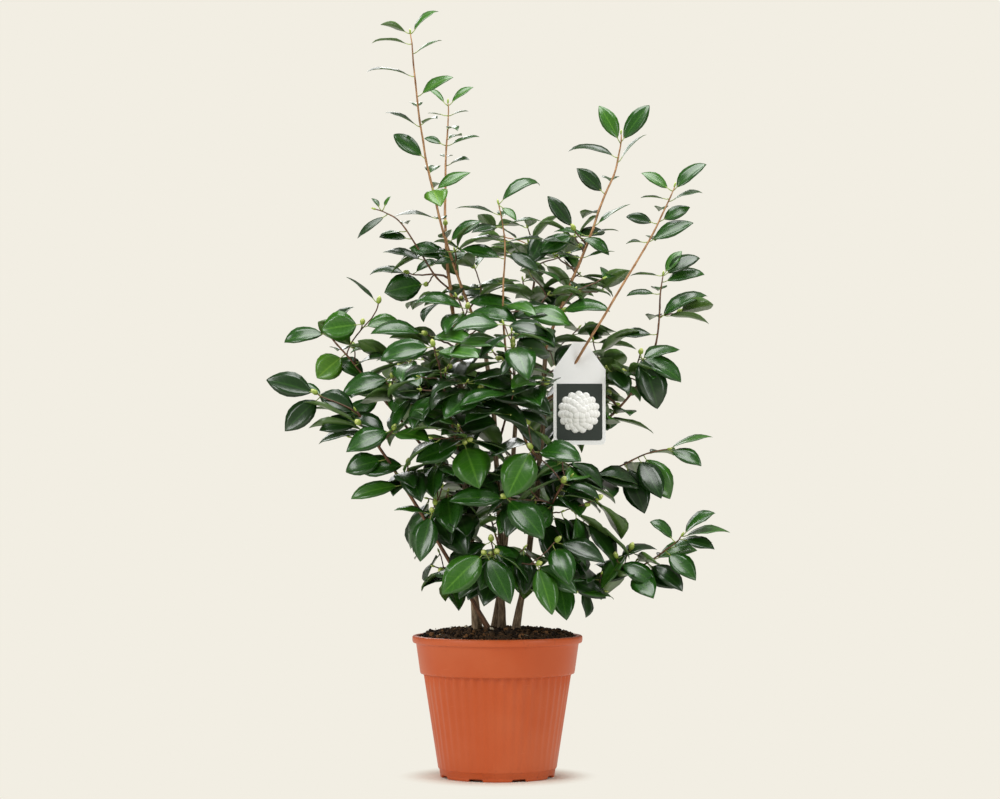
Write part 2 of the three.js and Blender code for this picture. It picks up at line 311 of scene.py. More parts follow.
def potProfile(height):
    lip, band, body, ring, wall = (pot[key] for key in ("lip", "band", "body", "ring", "wall"))
    bandTop = height - lip["height"]
    bandFoot = bandTop - band["height"]
    roll = lip["roll"]
    soft = 0.0012  # the round of the moulded edges
    outer = [(0.0, pot["recess"]), (0.05, pot["recess"]), (0.08, pot["recess"]), (0.0835, 0.0)]
    outer += [(ring["radius"] - soft, 0.0), (ring["radius"], soft)]
    outer += [(ring["radius"], share * ring["height"]) for share in (0.3, 0.45, 0.8)]
    outer += [(ring["radius"] + 0.0006, ring["height"] - 0.0004), (body["foot"] - soft, ring["height"])]
    for share in (0, 0.008, 0.04, 0.12, 0.22, 0.34, 0.46, 0.58, 0.7, 0.8, 0.88, 0.94, 0.98, 1):
        span = bandFoot - ring["height"] - soft
        outer.append((mixed(body["foot"], body["top"], share), ring["height"] + soft + span * share))
    outer += [(band["foot"] - soft, bandFoot), (band["foot"], bandFoot + soft)]
    outer += [(mixed(band["foot"], band["top"], s), mixed(bandFoot, bandTop, s)) for s in (0.1, 0.35, 0.65, 0.9)]
    outer += [(band["top"], bandTop - 0.0004), (band["top"] + 0.0018, bandTop)]
    middle = (lip["radius"] - roll, height - roll)
    outer += [(middle[0] + roll * 0.5, bandTop), (lip["radius"] - 0.0006, bandTop + 0.0012)]
    outer += [(lip["radius"], bandTop + 0.004)]
    for turn in (0, 0.25, 0.5, 0.75, 1):
        angle = turn * pi / 2
        outer.append((middle[0] + roll * cos(angle), middle[1] + roll * sin(angle)))
    inner = band["top"] - wall
    outer += [(inner + 0.0016, height), (inner, height - 0.0014), (inner, bandTop)]
    outer += [(band["foot"] - wall, bandFoot + wall), (body["top"] - wall, bandFoot + wall)]
    outer += [(body["foot"] - wall, 0.0055), (body["foot"] - wall - 0.0015, 0.004), (0.0, 0.004)]
    return outer


def buildPot():
    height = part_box("pot")[1].z
    flutes, notches, ring = pot["flutes"], pot["notches"], pot["ring"]
    bm = bmesh.new()
    corners = [bm.verts.new((radius, 0, z)) for radius, z in potProfile(height)]
    edges = [bm.edges.new(pair) for pair in zip(corners, corners[1:])]
    steps = flutes["count"] * flutes["stepsEach"]
    bmesh.ops.spin(bm, geom=corners + edges, axis=(0, 0, 1), angle=tau, steps=steps, use_merge=True)
    bmesh.ops.remove_doubles(bm, verts=bm.verts, dist=1e-6)
    bandFoot = height - pot["lip"]["height"] - pot["band"]["height"]
    spacing = tau / notches["count"]
    for vert in bm.verts:
        radius, turn = vert.co.xy.length, atan2(vert.co.y, vert.co.x)
        if radius < 1e-6:
            continue
        outside = radius > pot["body"]["foot"] - 0.002 or vert.co.z < ring["height"]
        if outside and ring["height"] + 0.001 < vert.co.z < bandFoot:
            climb = (vert.co.z - ring["height"]) / (bandFoot - ring["height"])
            strength = 0.1 + 0.3 * eased(0, 0.5, climb) + 0.6 * eased(0.84, 0.99, climb)
            groove = (0.5 - 0.5 * cos(turn * flutes["count"])) ** 0.8
            vert.co.xy *= 1 - flutes["depth"] * strength * groove / radius
        aside = abs((turn / spacing) % 1 - 0.5) * spacing * radius
        inNotch = aside < notches["width"] / 2 and radius > ring["radius"] - notches["depth"]
        if inNotch and vert.co.z < notches["height"]:
            vert.co.z = notches["height"] + 0.25 * vert.co.z
    bmesh.ops.recalc_face_normals(bm, faces=bm.faces)
    piece = pieceFrom(bm, "pot_moulded", [potFinish(height)])
    edge = piece.modifiers.new("edges", "BEVEL")
    edge.width, edge.segments, edge.limit_method, edge.angle_limit = 0.0004, 1, "ANGLE", radians(50)
    settle(piece, "pot_plastic", "pot")
    print("pot", len(piece.data.polygons), "faces")


def potFinish(height):
    plastic = Finish("terracotta plastic", Roughness=0.4, Specular_IOR_Level=0.32)
    place = plastic.place()
    broad = plastic.noise(place, 9, 4)
    streaks = plastic.noise(plastic.place((60, 60, 5)), 1, 4, 0.6)
    fine = plastic.noise(place, 240, 2)
    scratches = plastic.noise(plastic.place((30, 30, 260)), 1, 3, 0.7)
    split = plastic.node("ShaderNodeSeparateXYZ", values={0: place}, output="Z")
    nearRim = plastic.between(split, height - 0.02, height + 0.002)
    nearFoot = 1 - plastic.between(split, 0.0, 0.03)
    tone = plastic.mix(plastic.between(broad, 0.35, 0.7) * 0.22, pot["colour"], pot["scuff"])
    worn = plastic.between(scratches, 0.66, 0.72) * plastic.between(streaks, 0.42, 0.6)
    tone = plastic.mix(worn * 0.28, tone, pot["scuff"])
    dust = plastic.between(streaks * 0.5 + fine * 0.5, 0.5, 0.72) * (0.06 + 0.4 * nearRim + 0.35 * nearFoot)
    plastic.link("Base Color", plastic.mix(dust, tone, pot["grime"]))
    plastic.link("Roughness", 0.36 + 0.12 * broad + 0.2 * dust + 0.12 * worn)
    plastic.bump(fine * 0.4 + streaks * 0.3 + worn * 0.3, 0.25, 0.0004)
    return plastic.material


# ---- the soil

soil = {
    "rise": 0.0022,  # of its lumps
    "crumbs": 1700,
    "crumbSize": (0.0012, 0.0042),
    "fibres": 240,
    "fibreLength": (0.004, 0.02),
    "colour": tint(88, 66, 46),
    "dark": tint(40, 29, 20),
    "fibre": tint(128, 96, 62),
    "pale": tint(196, 184, 160),
}


def soilHeight(x, y, top, edge):
    # the heaped surface, low at the rim
    away = sqrt(x * x + y * y)
    dome = top - 0.004 * eased(0.05, 0.1, away) - 0.007 * eased(0.1, edge, away)
    lumps = noise.noise(Vector((x, y, 0)) * 46) + 0.6 * noise.noise(Vector((x, y, 3)) * 120)
    return dome + soil["rise"] * lumps


def buildSoil():
    low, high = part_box("soil")
    edge = high.x
    chance = Random(11)
    bm = bmesh.new()
    rings = 34
    # the sunk bottom, the side against the pot and the open surface, as one outline to spin
    outline = [(0, low.z), (0.088, low.z + 0.0005), (edge - 0.013, high.z - 0.07), (edge - 0.0008, high.z - 0.03)]
    outline += [(edge * (1 - share / rings), high.z) for share in range(rings + 1)]
    corners = [bm.verts.new((radius, 0, z)) for radius, z in outline]
    edges = [bm.edges.new(pair) for pair in zip(corners, corners[1:])]
    bmesh.ops.spin(bm, geom=corners + edges, axis=(0, 0, 1), angle=tau, steps=120, use_merge=True)
    bmesh.ops.remove_doubles(bm, verts=bm.verts, dist=1e-6)
    for vert in bm.verts:
        if vert.co.z > high.z - 0.001:
            vert.co.z = soilHeight(vert.co.x, vert.co.y, high.z, edge)
    bmesh.ops.recalc_face_normals(bm, faces=bm.faces)
    ground = pieceFrom(bm, "soil_heap", [soilFinish("potting soil", soil["dark"], soil["colour"])])
    settle(ground, "potting_soil", "soil")

    crumbs = Bunch()
    seed = bmesh.new()
    bmesh.ops.create_icosphere(seed, subdivisions=1, radius=1)
    shape = np.array([vert.co for vert in seed.verts])
    faces = [[vert.index for vert in face.verts] for face in seed.faces]
    seed.free()
    for _ in range(soil["crumbs"]):
        away = edge * sqrt(chance.random()) * 0.985
        turn = chance.uniform(0, tau)
        x, y = away * cos(turn), away * sin(turn)
        size = mixed(*soil["crumbSize"], chance.random() ** 2.4)
        lump = shape * [size * chance.uniform(0.7, 1.3) for _ in range(3)]
        lump *= 1 + 0.25 * np.array([[chance.uniform(-1, 1)] for _ in shape])
        turned = np.array(Matrix.Rotation(chance.uniform(0, tau), 3, Vector((x, y, 0.05)).normalized()))
        z = soilHeight(x, y, high.z, edge) + size * 0.35
        pale = chance.random()
        slot = 3 if pale < 0.018 else 2 if pale < 0.12 else chance.randrange(2)
        crumbs.add(lump @ turned.T + (x, y, z), faces, [slot] * len(faces))
    finishes = [
        soilFinish("soil crumb", soil["dark"], soil["colour"]),
        soilFinish("soil crumb dark", tint(24, 17, 12), soil["dark"]),
        soilFinish("bark chip", tint(96, 66, 42), tint(140, 100, 64)),
        soilFinish("perlite", tint(190, 182, 164), soil["pale"]),
    ]
    settle(crumbs.piece("soil_crumbs", finishes), "potting_soil")

    fibres = Bunch()
    for _ in range(soil["fibres"]):
        away = edge * sqrt(chance.random()) * 0.93
        turn = chance.uniform(0, tau)
        length = mixed(*soil["fibreLength"], chance.random() ** 1.6)
        heading, bend = chance.uniform(0, tau), chance.uniform(-1.2, 1.2)
        lift = chance.uniform(0, 0.0016) if chance.random() < 0.93 else length * 0.3
        points, x, y = [], away * cos(turn), away * sin(turn)
        for step in range(5):
            share = step / 4
            z = soilHeight(x, y, high.z, edge) + 0.0008 + lift * sin(share * pi * 0.8)
            points.append(Vector((x, y, z)))
            x += cos(heading + bend * share) * length / 4
            y += sin(heading + bend * share) * length / 4
        if Vector((x, y)).length < edge:
            slot = 1 if chance.random() < 0.12 else 0
            addTube(fibres, points, [0.0002 + 0.0003 * chance.random()] * 5, 3, slot)
    strands = [
        soilFinish("root fibre", tint(88, 62, 38), soil["fibre"]),
        soilFinish("pale root", tint(170, 150, 116), soil["pale"]),
    ]
    settle(fibres.piece("soil_fibres", strands), "potting_soil")
    print("soil", len(crumbs.faces), "crumb faces,", len(fibres.faces), "fibre faces")


def soilFinish(name, low, high):
    earth = Finish(name, Roughness=0.95, Specular_IOR_Level=0.2)
    grain = earth.noise(earth.place(), 420, 4, 0.65)
    earth.link("Base Color", earth.mix(earth.between(grain, 0.36, 0.66), low, high))
    earth.bump(grain, 0.7, 0.0012)
    return earth.material


# ---- limbs

def turnedFrames(points):
    # a tangent and a side for each point, with no twist between them
    tangents = []
    for index in range(len(points)):
        ahead = points[min(index + 1, len(points) - 1)] - points[max(index - 1, 0)]
        tangents.append(ahead.normalized())
    side = tangents[0].orthogonal().normalized()
    frames = []
    for tangent in tangents:
        side = (side - tangent * side.dot(tangent)).normalized()
        frames.append((tangent, side, tangent.cross(side)))
    return frames


def addTube(bunch, points, radii, sides, slot, **maps):
    # a small round twig, root or stalk, closed at both ends
    places, faces = [], []
    for point, radius, (_, side, across) in zip(points, radii, turnedFrames(points)):
        for corner in range(sides):
            angle = tau * corner / sides
            places.append(point + radius * (side * cos(angle) + across * sin(angle)))
    for ring in range(len(points) - 1):
        for corner in range(sides):
            after = (corner + 1) % sides
            low, high = ring * sides, (ring + 1) * sides
            faces.append([low + corner, low + after, high + after, high + corner])
    last = (len(points) - 1) * sides
    faces.append([last + corner for corner in range(sides)])
    faces.append([corner for corner in reversed(range(sides))])
    bunch.add(places, faces, [slot] * len(faces), **maps)


def curveThrough(points, spacing):
    # a smooth curve through the points, in even short steps
    ends = [points[0] * 2 - points[1]] + points + [points[-1] * 2 - points[-2]]
    curve = []
    for before, start, end, after in zip(ends, ends[1:], ends[2:], ends[3:]):
        count = max(1, round((end - start).length / spacing))
        for step in range(count):
            t = step / count
            curve.append(0.5 * (
                2 * start + (end - before) * t + (2 * before - 5 * start + 4 * end - after) * t * t
                + (3 * start - before - 3 * end + after) * t ** 3
            ))
    return curve + [points[-1]]


# On each limb: the limb that it leaves, the share of it past which it bears leaves, and how far apart
# these stand. A limb that grows on into its foliage ends at a place in that foliage's box.
limbRows = {
    "stem_left": {},
    "stem_thin": {"leafy": 0.55, "apart": 0.034},
    "stem_middle": {},
    "stem_right": {},
    "stem_back": {},
    "leader_left": {"from": "stem_left", "leafy": 0.34, "apart": 0.03, "into": "foliage_left_top",
                    "end": (0.45, 0.5, 0.74), "leaf": 0.044},
    "leader_middle": {"from": "stem_middle", "leafy": 0.42, "apart": 0.034, "into": "foliage_middle_top",
                      "end": (0.56, 0.5, 0.8), "leaf": 0.052},
    "leader_right": {"from": "stem_right", "leafy": 0.3, "apart": 0.036, "into": "foliage_right_top",
                     "end": (0.55, 0.5, 0.66), "leaf": 0.062},
    "leader_back": {"from": "stem_back", "leafy": 0.3, "apart": 0.032, "into": "crown_back_top",
                    "end": (0.5, 0.5, 0.72), "leaf": 0.062},
    "shoot_centre": {"from": "stem_right", "leafy": 0.4, "apart": 0.034, "into": "foliage_centre_top",
                     "end": (0.3, 0.5, 0.72), "leaf": 0.058},
    "bough_left_long": {"from": "stem_left", "leafy": 0.5, "apart": 0.034, "into": "foliage_left_tip",
                        "end": (0.76, 0.5, 0.36), "leaf": 0.06},
    "bough_left_upper": {"from": "leader_left", "leafy": 0.4, "apart": 0.036, "into": "foliage_left_upper",
                         "end": (0.3, 0.5, 0.7), "leaf": 0.05},
    "bough_right_label": {"from": "stem_right", "leafy": 0.62, "apart": 0.03,
                          "into": "foliage_label_top", "end": (0.62, 0.5, 0.72), "leaf": 0.056},
    "bough_right_outer": {"from": "stem_right", "leafy": 0.45, "apart": 0.034,
                          "into": "foliage_outer_top", "end": (0.52, 0.5, 0.8), "leaf": 0.06},
    "bough_right_middle": {"from": "stem_right", "leafy": 0.4, "apart": 0.03,
                           "into": "foliage_middle_tip", "end": (0.5, 0.5, 0.5), "leaf": 0.07},
    "bough_right_low": {"from": "stem_right", "leafy": 0.35, "apart": 0.032,
                        "into": "foliage_low_tip", "end": (0.3, 0.5, 0.45), "leaf": 0.06},
    "bough_front_left": {"from": "stem_left", "leafy": 0.5, "apart": 0.03},
    "bough_front_middle": {"from": "stem_middle", "leafy": 0.5, "apart": 0.03},
    "bough_front_right": {"from": "stem_right", "leafy": 0.45, "apart": 0.03},
    "bough_front_low": {"from": "stem_middle", "leafy": 0.45, "apart": 0.028},
    "bough_back_left": {"from": "stem_back", "leafy": 0.5, "apart": 0.03},
    "bough_back_right": {"from": "stem_back", "leafy": 0.5, "apart": 0.03},
    "bough_back_low": {"from": "stem_back", "leafy": 0.5, "apart": 0.03},
}

limbLook = {
    "sides": 14,
    "slim": 0.8,  # of a bough's thickness, without the room its twigs take
    "ringSpacing": 0.0034,
    "nodeSpacing": 0.03,
    "nodeSwell": 0.16,  # share of the radius
    "zigzag": 0.0012,
    "relief": 0.05,  # share of the radius
}


def limbLine(node, stem):
    # the middle and radius of each of the solid's rings, from its root to its tip
    bm = solidCopy(node)
    sides = 8 if stem else 5
    around = {vert: [edge.other_vert(vert) for edge in vert.link_edges] for vert in bm.verts}

    def isTip(vert):
        ring = around[vert]
        middle = sum((other.co for other in ring), Vector()) / len(ring)
        return len(ring) == sides and (middle - vert.co).length < 2e-5

    def ordered(verts):
        # the same order each run, so that the sums below are the same to their last digit
        return sorted(verts, key=lambda vert: vert.co[:])

    tip = max((vert for vert in bm.verts if isTip(vert)), key=lambda vert: vert.co.z)
    line, seen, ring = [(tip.co.copy(), 0)], {tip}, ordered(around[tip])
    while len(ring) == sides:
        middle = sum((vert.co for vert in ring), Vector()) / sides
        line.append((middle, sum((vert.co - middle).length for vert in ring) / sides))
        seen.update(ring)
        ring = ordered({other for vert in ring for other in around[vert]} - seen)
    bm.free()
    line = line[1:][::-1]  # the first ring lies in the plane of the tip
    return [place for place, _ in line], [radius for _, radius in line]


class Limb:
    # a curve with a thickness, which bears leaves past a share of its length
    def __init__(self, points, radii, leafy, apart, leaf, owner):
        self.points, self.radii = points, radii
        self.leafy, self.apart, self.leaf, self.owner = leafy, apart, leaf, owner
        steps = [0] + [(b - a).length for a, b in zip(points, points[1:])]
        self.reach = np.cumsum(steps)
        self.length = self.reach[-1]

    def at(self, share):
        # the place, heading and radius at a share of its length
        where = share * self.length
        index = int(min(len(self.points) - 2, max(0, np.searchsorted(self.reach, where) - 1)))
        start, end = self.points[index], self.points[index + 1]
        part = (where - self.reach[index]) / max(1e-9, self.reach[index + 1] - self.reach[index])
        return start.lerp(end, part), (end - start).normalized(), mixed(*self.radii[index:index + 2], part)

    def shareAt(self, height):
        # the share of its length at a height
        nearest = min(range(len(self.points)), key=lambda index: abs(self.points[index].z - height))
        return min(1, self.reach[nearest] / self.length)


def boxPlace(node, shares):
    low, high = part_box(node)
    return Vector(mixed(low[axis], high[axis], shares[axis]) for axis in range(3))


def readLimbs():
    limbs = {}
    for name, row in limbRows.items():
        points, radii = limbLine(name, not row.get("from"))
        if row.get("from"):
            # back to the middle of the limb that it leaves
            parent = limbs[row["from"]]
            back = (points[0] - points[1]).normalized() if len(points) > 1 else -up
            aim = points[0] + back * 0.02
            root = min(parent.points, key=lambda place: (place - aim).length)
            points, radii = [root] + points, [radii[0]] + radii
        if row.get("into"):
            end = boxPlace(row["into"], row["end"])
            ahead = (points[-1] - points[-2]).normalized()
            reach = (end - points[-1]).length
            points.append(points[-1].lerp(end, 0.5) + ahead * reach * 0.12)
            radii.append(radii[-1] * 0.82)
            points.append(end)
            radii.append(0.0011)
        curve = curveThrough(points, limbLook["ringSpacing"])
        shares = np.cumsum([0] + [(b - a).length for a, b in zip(points, points[1:])])
        along = np.cumsum([0] + [(b - a).length for a, b in zip(curve, curve[1:])])
        slim = 1 if name.startswith("stem") else limbLook["slim"]
        thickness = (slim * np.interp(along / along[-1], shares / shares[-1], radii)).tolist()
        limbs[name] = Limb(curve, thickness, row.get("leafy", 1), row.get("apart", 0.03),
                           row.get("leaf", 0.068), name)
    return limbs


def buildLimb(name, limb, finish):
    # rings pushed along the curve, then roughened
    stem = name.startswith("stem")
    sides = limbLook["sides"]
    salt = 7.0 * len(name) + limb.points[0].x * 90
    bm = bmesh.new()
    layer = bm.verts.layers.float_vector.new("barkPlace")
    made = bmesh.ops.create_circle(bm, segments=sides, radius=1)["verts"]
    unit = [vert.co.copy() for vert in made]
    first = ring = bm.edges[:]
    bends = [Vector((noise.noise((i * 1.7, salt, 0)), noise.noise((i * 1.7, salt, 5)), 0)) for i in range(60)]
    for index, (tangent, side, across) in enumerate(turnedFrames(limb.points)):
        along, radius = limb.reach[index], limb.radii[index]
        kink = along / limbLook["nodeSpacing"]
        low, part = int(kink), kink % 1
        away = bends[low].lerp(bends[low + 1], part) * limbLook["zigzag"] * 2
        if stem and along < 0.05:
            away = away * (along / 0.05)
        if min(part, 1 - part) < 0.16 and not stem:
            radius *= 1 + limbLook["nodeSwell"] * (1 - min(part, 1 - part) / 0.16)
        turned = Matrix((side, across, tangent)).transposed().to_4x4()
        turned.translation = limb.points[index] + away
        if index:
            grown = bmesh.ops.extrude_edge_only(bm, edges=ring)["geom"]
            made = [item for item in grown if isinstance(item, bmesh.types.BMVert)]
            ends = set(made)
            ring = [item for item in grown if isinstance(item, bmesh.types.BMEdge) and ends.issuperset(item.verts)]
        for vert, corner in zip(made, unit):
            turn = atan2(corner.y, corner.x)
            place = Vector((cos(turn) * 1.6, sin(turn) * 1.6, along * 55 + salt))
            ridges = noise.noise(Vector((place.x * 1.7, place.y * 1.7, along * 24 + salt)))
            lumps = noise.noise(place)
            flare = 0
            if stem:
                # ribs that run out into the soil as roots do
                flare = 0.22 * exp(-along / 0.01) * (0.6 + 0.7 * sin(3 * turn + salt))
            scale = radius * (1 + limbLook["relief"] * (1.1 if stem else 0.8) * (ridges + lumps) + flare)
            vert.co = turned @ Vector((corner.x * scale, corner.y * scale, 0))
            vert[layer] = Vector((cos(turn) * radius, sin(turn) * radius, along))
    bmesh.ops.holes_fill(bm, edges=first, sides=0)
    bmesh.ops.holes_fill(bm, edges=ring, sides=0)
    bmesh.ops.recalc_face_normals(bm, faces=bm.faces)
    piece = pieceFrom(bm, name + "_bark", [finish])
    settle(piece, "stem_bark" if stem else "shoot_bark", name)
    return len(piece.data.polygons)


barkLook = {
    "old": {"low": tint(92, 74, 56), "high": tint(158, 136, 110), "rough": 0.82},
    "young": {"low": tint(112, 76, 48), "high": tint(192, 148, 104), "rough": 0.6},
    "brown": {"low": tint(66, 44, 34), "high": tint(128, 92, 66), "rough": 0.68},
}


def barkFinish(name, look):
    bark = Finish(name, Roughness=look["rough"], Specular_IOR_Level=0.35)
    place = bark.node("ShaderNodeAttribute", {"attribute_name": "barkPlace"}, output="Vector")
    stretched = bark.node("ShaderNodeMapping", values={"Vector": place, "Scale": (1, 1, 0.14)})
    streaks = bark.noise(stretched, 520, 4, 0.6)
    patches = bark.noise(place, 60, 3)
    specks = bark.noise(place, 900, 2)
    tone = bark.mix(bark.between(streaks, 0.34, 0.66), look["low"], look["high"])
    tone = bark.mix(bark.between(patches, 0.5, 0.72) * 0.35, tone, look["low"])
    tone = bark.mix(bark.between(specks, 0.68, 0.74) * 0.5, tone, tint(206, 190, 160))
    bark.link("Base Color", tone)
    bark.link("Roughness", look["rough"] - 0.1 * patches + 0.08 * streaks)
    bark.bump(streaks * 0.7 + patches * 0.3, 0.5, 0.0009)
    return bark.material


# ---- leaves

def plainFinish(name, colour, roughness):
    return Finish(name, Base_Color=colour, Roughness=roughness).material


leafShape = {
    # half width, as a share of the widest, at stations from stalk to tip
    "stations": (0, 0.06, 0.17, 0.3, 0.45, 0.6, 0.74, 0.86, 0.95, 1),
    "outline": (0, 0.26, 0.62, 0.88, 1.0, 0.95, 0.74, 0.43, 0.16, 0),
    "across": (-1, -0.5, 0, 0.5, 1),
    "widths": (0.61, 0.48),  # of the length, low on the shrub and high
    "thickness": 0.0007,
    "stalk": 0.008,
    "stalkRadius": 0.0009,
    "arch": (0.25, 0.85),  # how far the blade turns down from stalk to tip, in radians
    "curl": (0.2, 0.8),  # and the drip tip alone
    "fold": (0.12, 0.42),  # each half rises from the midrib
    "twist": 0.35,
}


def leafPattern():
    # the flat leaf: a grid gathered to a point at each end, and a coarser underside
    look = leafShape
    stations, across = look["stations"], look["across"]
    bm = bmesh.new()
    bmesh.ops.create_grid(bm, x_segments=len(across) - 1, y_segments=len(stations) - 1, size=1)
    side = bm.verts.layers.float.new("under")
    kind = {}
    columns = sorted({round(vert.co.x, 4) for vert in bm.verts})
    rows = sorted({round(vert.co.y, 4) for vert in bm.verts})
    for vert in bm.verts:
        column, row = columns.index(round(vert.co.x, 4)), rows.index(round(vert.co.y, 4))
        vert.co = Vector((across[column], stations[row], 0))
    for face in bm.faces:
        kind[face] = "blade"
    # the underside spans from edge to edge and dips to a keel
    left = [e for e in bm.edges if e.is_boundary and all(v.co.x < -0.99 for v in e.verts)]
    right = [e for e in bm.edges if e.is_boundary and all(v.co.x > 0.99 for v in e.verts)]
    spans = bmesh.ops.bridge_loops(bm, edges=left + right)
    cross = [e for e in spans["edges"] if abs(e.verts[0].co.x - e.verts[1].co.x) > 1]
    bmesh.ops.subdivide_edges(bm, edges=cross, cuts=1)
    top = {vert for face in kind for vert in face.verts}
    for vert in bm.verts:
        vert[side] = 0 if vert in top else 1
    for row in (0, len(stations) - 1):
        end = [vert for vert in bm.verts if abs(vert.co.y - stations[row]) < 1e-6]
        bmesh.ops.pointmerge(bm, verts=end, merge_co=(0, stations[row], 0))
    bm.verts.index_update()
    places = np.array([vert.co for vert in bm.verts])
    under = np.array([vert[side] for vert in bm.verts])
    faces, kinds, leafUv = [], [], []
    for face in bm.faces:
        faces.append([vert.index for vert in face.verts])
        kinds.append(kind.get(face, "under"))
        leafUv.append([(0.5 + 0.5 * vert.co.x, vert.co.y) for vert in face.verts])
    bm.free()
    return places, under, faces, kinds, leafUv


def hangLeaf(pattern, base, axis, normal, length, shape):
    # the flat pattern bent to this leaf's own shape, and put in its place
    places, under = pattern[0], pattern[1]
    across, along = places[:, 0], places[:, 1]
    look = leafShape
    half = length * shape["width"] / 2 * np.interp(along, look["stations"], look["outline"])
    # the midrib bows down along its length and more at the tip
    steps = np.linspace(0, 1, 25)
    bend = shape["lift"] - shape["arch"] * steps - shape["curl"] * np.clip((steps - 0.72) / 0.28, 0, 1) ** 2
    ahead = np.concatenate([[0], np.cumsum(np.cos(bend[:-1]))]) * length / 24
    rise = np.concatenate([[0], np.cumsum(np.sin(bend[:-1]))]) * length / 24
    y, z = np.interp(along, steps, ahead), np.interp(along, steps, rise)
    pitch = np.interp(along, steps, bend)
    wide = np.abs(across)
    out = half * across * cos(shape["fold"])
    lift = half * sin(shape["fold"]) * (1.5 * wide - 0.75 * wide ** 2)
    lift += half * 0.07 * np.sin(3 * pi * along + shape["phase"] + 2 * across) * wide
    lift -= under * look["thickness"] * np.sin(pi * np.clip(along, 0.02, 0.98)) ** 0.5 * 1.6
    twist = shape["twist"] * (along - 0.3)
    out, lift = out * np.cos(twist) - lift * np.sin(twist), out * np.sin(twist) + lift * np.cos(twist)
    y, z = y - lift * np.sin(pitch), z + lift * np.cos(pitch)
    y = y + look["stalk"]
    cross = axis.cross(normal)
    return np.array(base) + np.outer(out, cross) + np.outer(y, axis) + np.outer(z, normal)


leafTones = {
    "deep": {"blade": tint(13, 48, 5), "vein": tint(44, 84, 24), "rough": 0.27},
    "green": {"blade": tint(25, 72, 8), "vein": tint(62, 110, 32), "rough": 0.25},
    "fresh": {"blade": tint(44, 96, 12), "vein": tint(90, 142, 44), "rough": 0.28},
    "bright": {"blade": tint(70, 122, 10), "vein": tint(122, 168, 52), "rough": 0.36},
}
underTone = {"blade": tint(70, 102, 38), "vein": tint(104, 134, 62), "rough": 0.42}
brightUnder = {"blade": tint(74, 122, 20), "vein": tint(130, 162, 66), "rough": 0.42}
stalkTone = tint(140, 158, 76)


def leafFinish(name, look):
    blade = Finish(name, Roughness=look["rough"], Specular_IOR_Level=0.55, Coat_Weight=0.32, Coat_Roughness=0.18)
    place = blade.node("ShaderNodeUVMap", {"uv_map": "leafUv"})
    across = blade.node("ShaderNodeSeparateXYZ", values={0: place}, output="X")
    along = blade.node("ShaderNodeSeparateXYZ", values={0: place}, output="Y")
    side = abs(across - 0.5) * 2
    # side veins leave the midrib and bend towards the tip
    wave = blade.maths("SINE", (along - 0.28 * side + 0.1 * side * side) * (tau * 7.5))
    veins = blade.between(wave, 0.86, 1.0) * (1 - blade.between(side, 0.55, 0.95))
    rib = 1 - blade.between(side, 0.02, 0.1)
    net = blade.noise(place, 26, 3, 0.6)
    tone = blade.mix(veins * 0.22 + rib * 0.6, look["blade"], look["vein"])
    rim = blade.between(side, 0.9, 1.0) * 0.25
    tone = blade.mix(blade.between(net, 0.45, 0.75) * 0.18 + rim, tone, look["vein"])
    blade.link("Base Color", tone)
    blade.link("Roughness", look["rough"] + 0.06 * net)
    quilt = wave * (1 - blade.between(side, 0.5, 1.0)) * -0.2
    blade.bump(quilt + blade.between(side, 0.0, 0.2) * 0.5, 0.08, 0.0008)
    return blade.material


class Foliage:
    # collects the leaves of one region, with a tile of the baking map for each kind of blade
    def __init__(self, name):
        self.name, self.bunch, self.leaves = name, Bunch(("leafUv", "OFBake")), 0


toneNames = list(leafTones)
slotNames = toneNames + ["under", "brightUnder", "stalk"]
tileSide = 0.25  # of the baking map


def tileOf(slot):
    index = slotNames.index(slot)
    return (index % 4) * tileSide, (index // 4) * 2 * tileSide


def addLeaf(foliage, pattern, base, axis, normal, length, tone, chance, shape=None):
    look = leafShape
    width = mixed(*look["widths"], eased(0.55, 0.9, base.z))
    own = {
        "width": width * chance.uniform(0.88, 1.1),
        "arch": chance.uniform(*look["arch"]),
        "curl": chance.uniform(*look["curl"]),
        "fold": chance.uniform(*look["fold"]),
        "twist": chance.uniform(-1, 1) * look["twist"],
        "phase": chance.uniform(0, tau),
    }
    own["lift"] = own["arch"] * 0.45
    own.update(shape or {})
    normal = (normal - axis * normal.dot(axis)).normalized()
    places = hangLeaf(pattern, base, axis, normal, length, own)
    _, _, faces, kinds, leafUv = pattern
    slots, tiles = [], []
    for kind, corners in zip(kinds, leafUv):
        slot = tone if kind == "blade" else "brightUnder" if tone == "bright" else "under"
        slots.append(slotNames.index(slot))
        left, low = tileOf(slot)
        for u, v in corners:
            tiles.append((left + tileSide * (0.02 + 0.96 * u), low + 2 * tileSide * (0.02 + 0.96 * v)))
    flat = [corner for corners in leafUv for corner in corners]
    foliage.bunch.add(places, faces, slots, leafUv=np.array(flat), OFBake=np.array(tiles))
    addStalk(foliage, base, axis, normal, own["lift"])
    foliage.leaves += 1
    return Vector(places[np.argmax(pattern[0][:, 1])])


def addStalk(foliage, base, axis, normal, lift):
    look = leafShape
    left, low = tileOf("stalk")
    spot = (left + tileSide / 2, low + tileSide)
    end = base + axis * (look["stalk"] + 0.004) + normal * 0.004 * sin(lift)
    points = [base - axis * 0.001, base + axis * look["stalk"] * 0.5 - normal * 0.0006, end]
    corners = np.full((3 * 2 * 4 + 6, 2), spot)
    radius = look["stalkRadius"]
    addTube(foliage.bunch, points, [radius * 1.25, radius, radius * 0.8], 3, slotNames.index("stalk"),
            leafUv=corners, OFBake=corners)


# ---- how the shrub grows

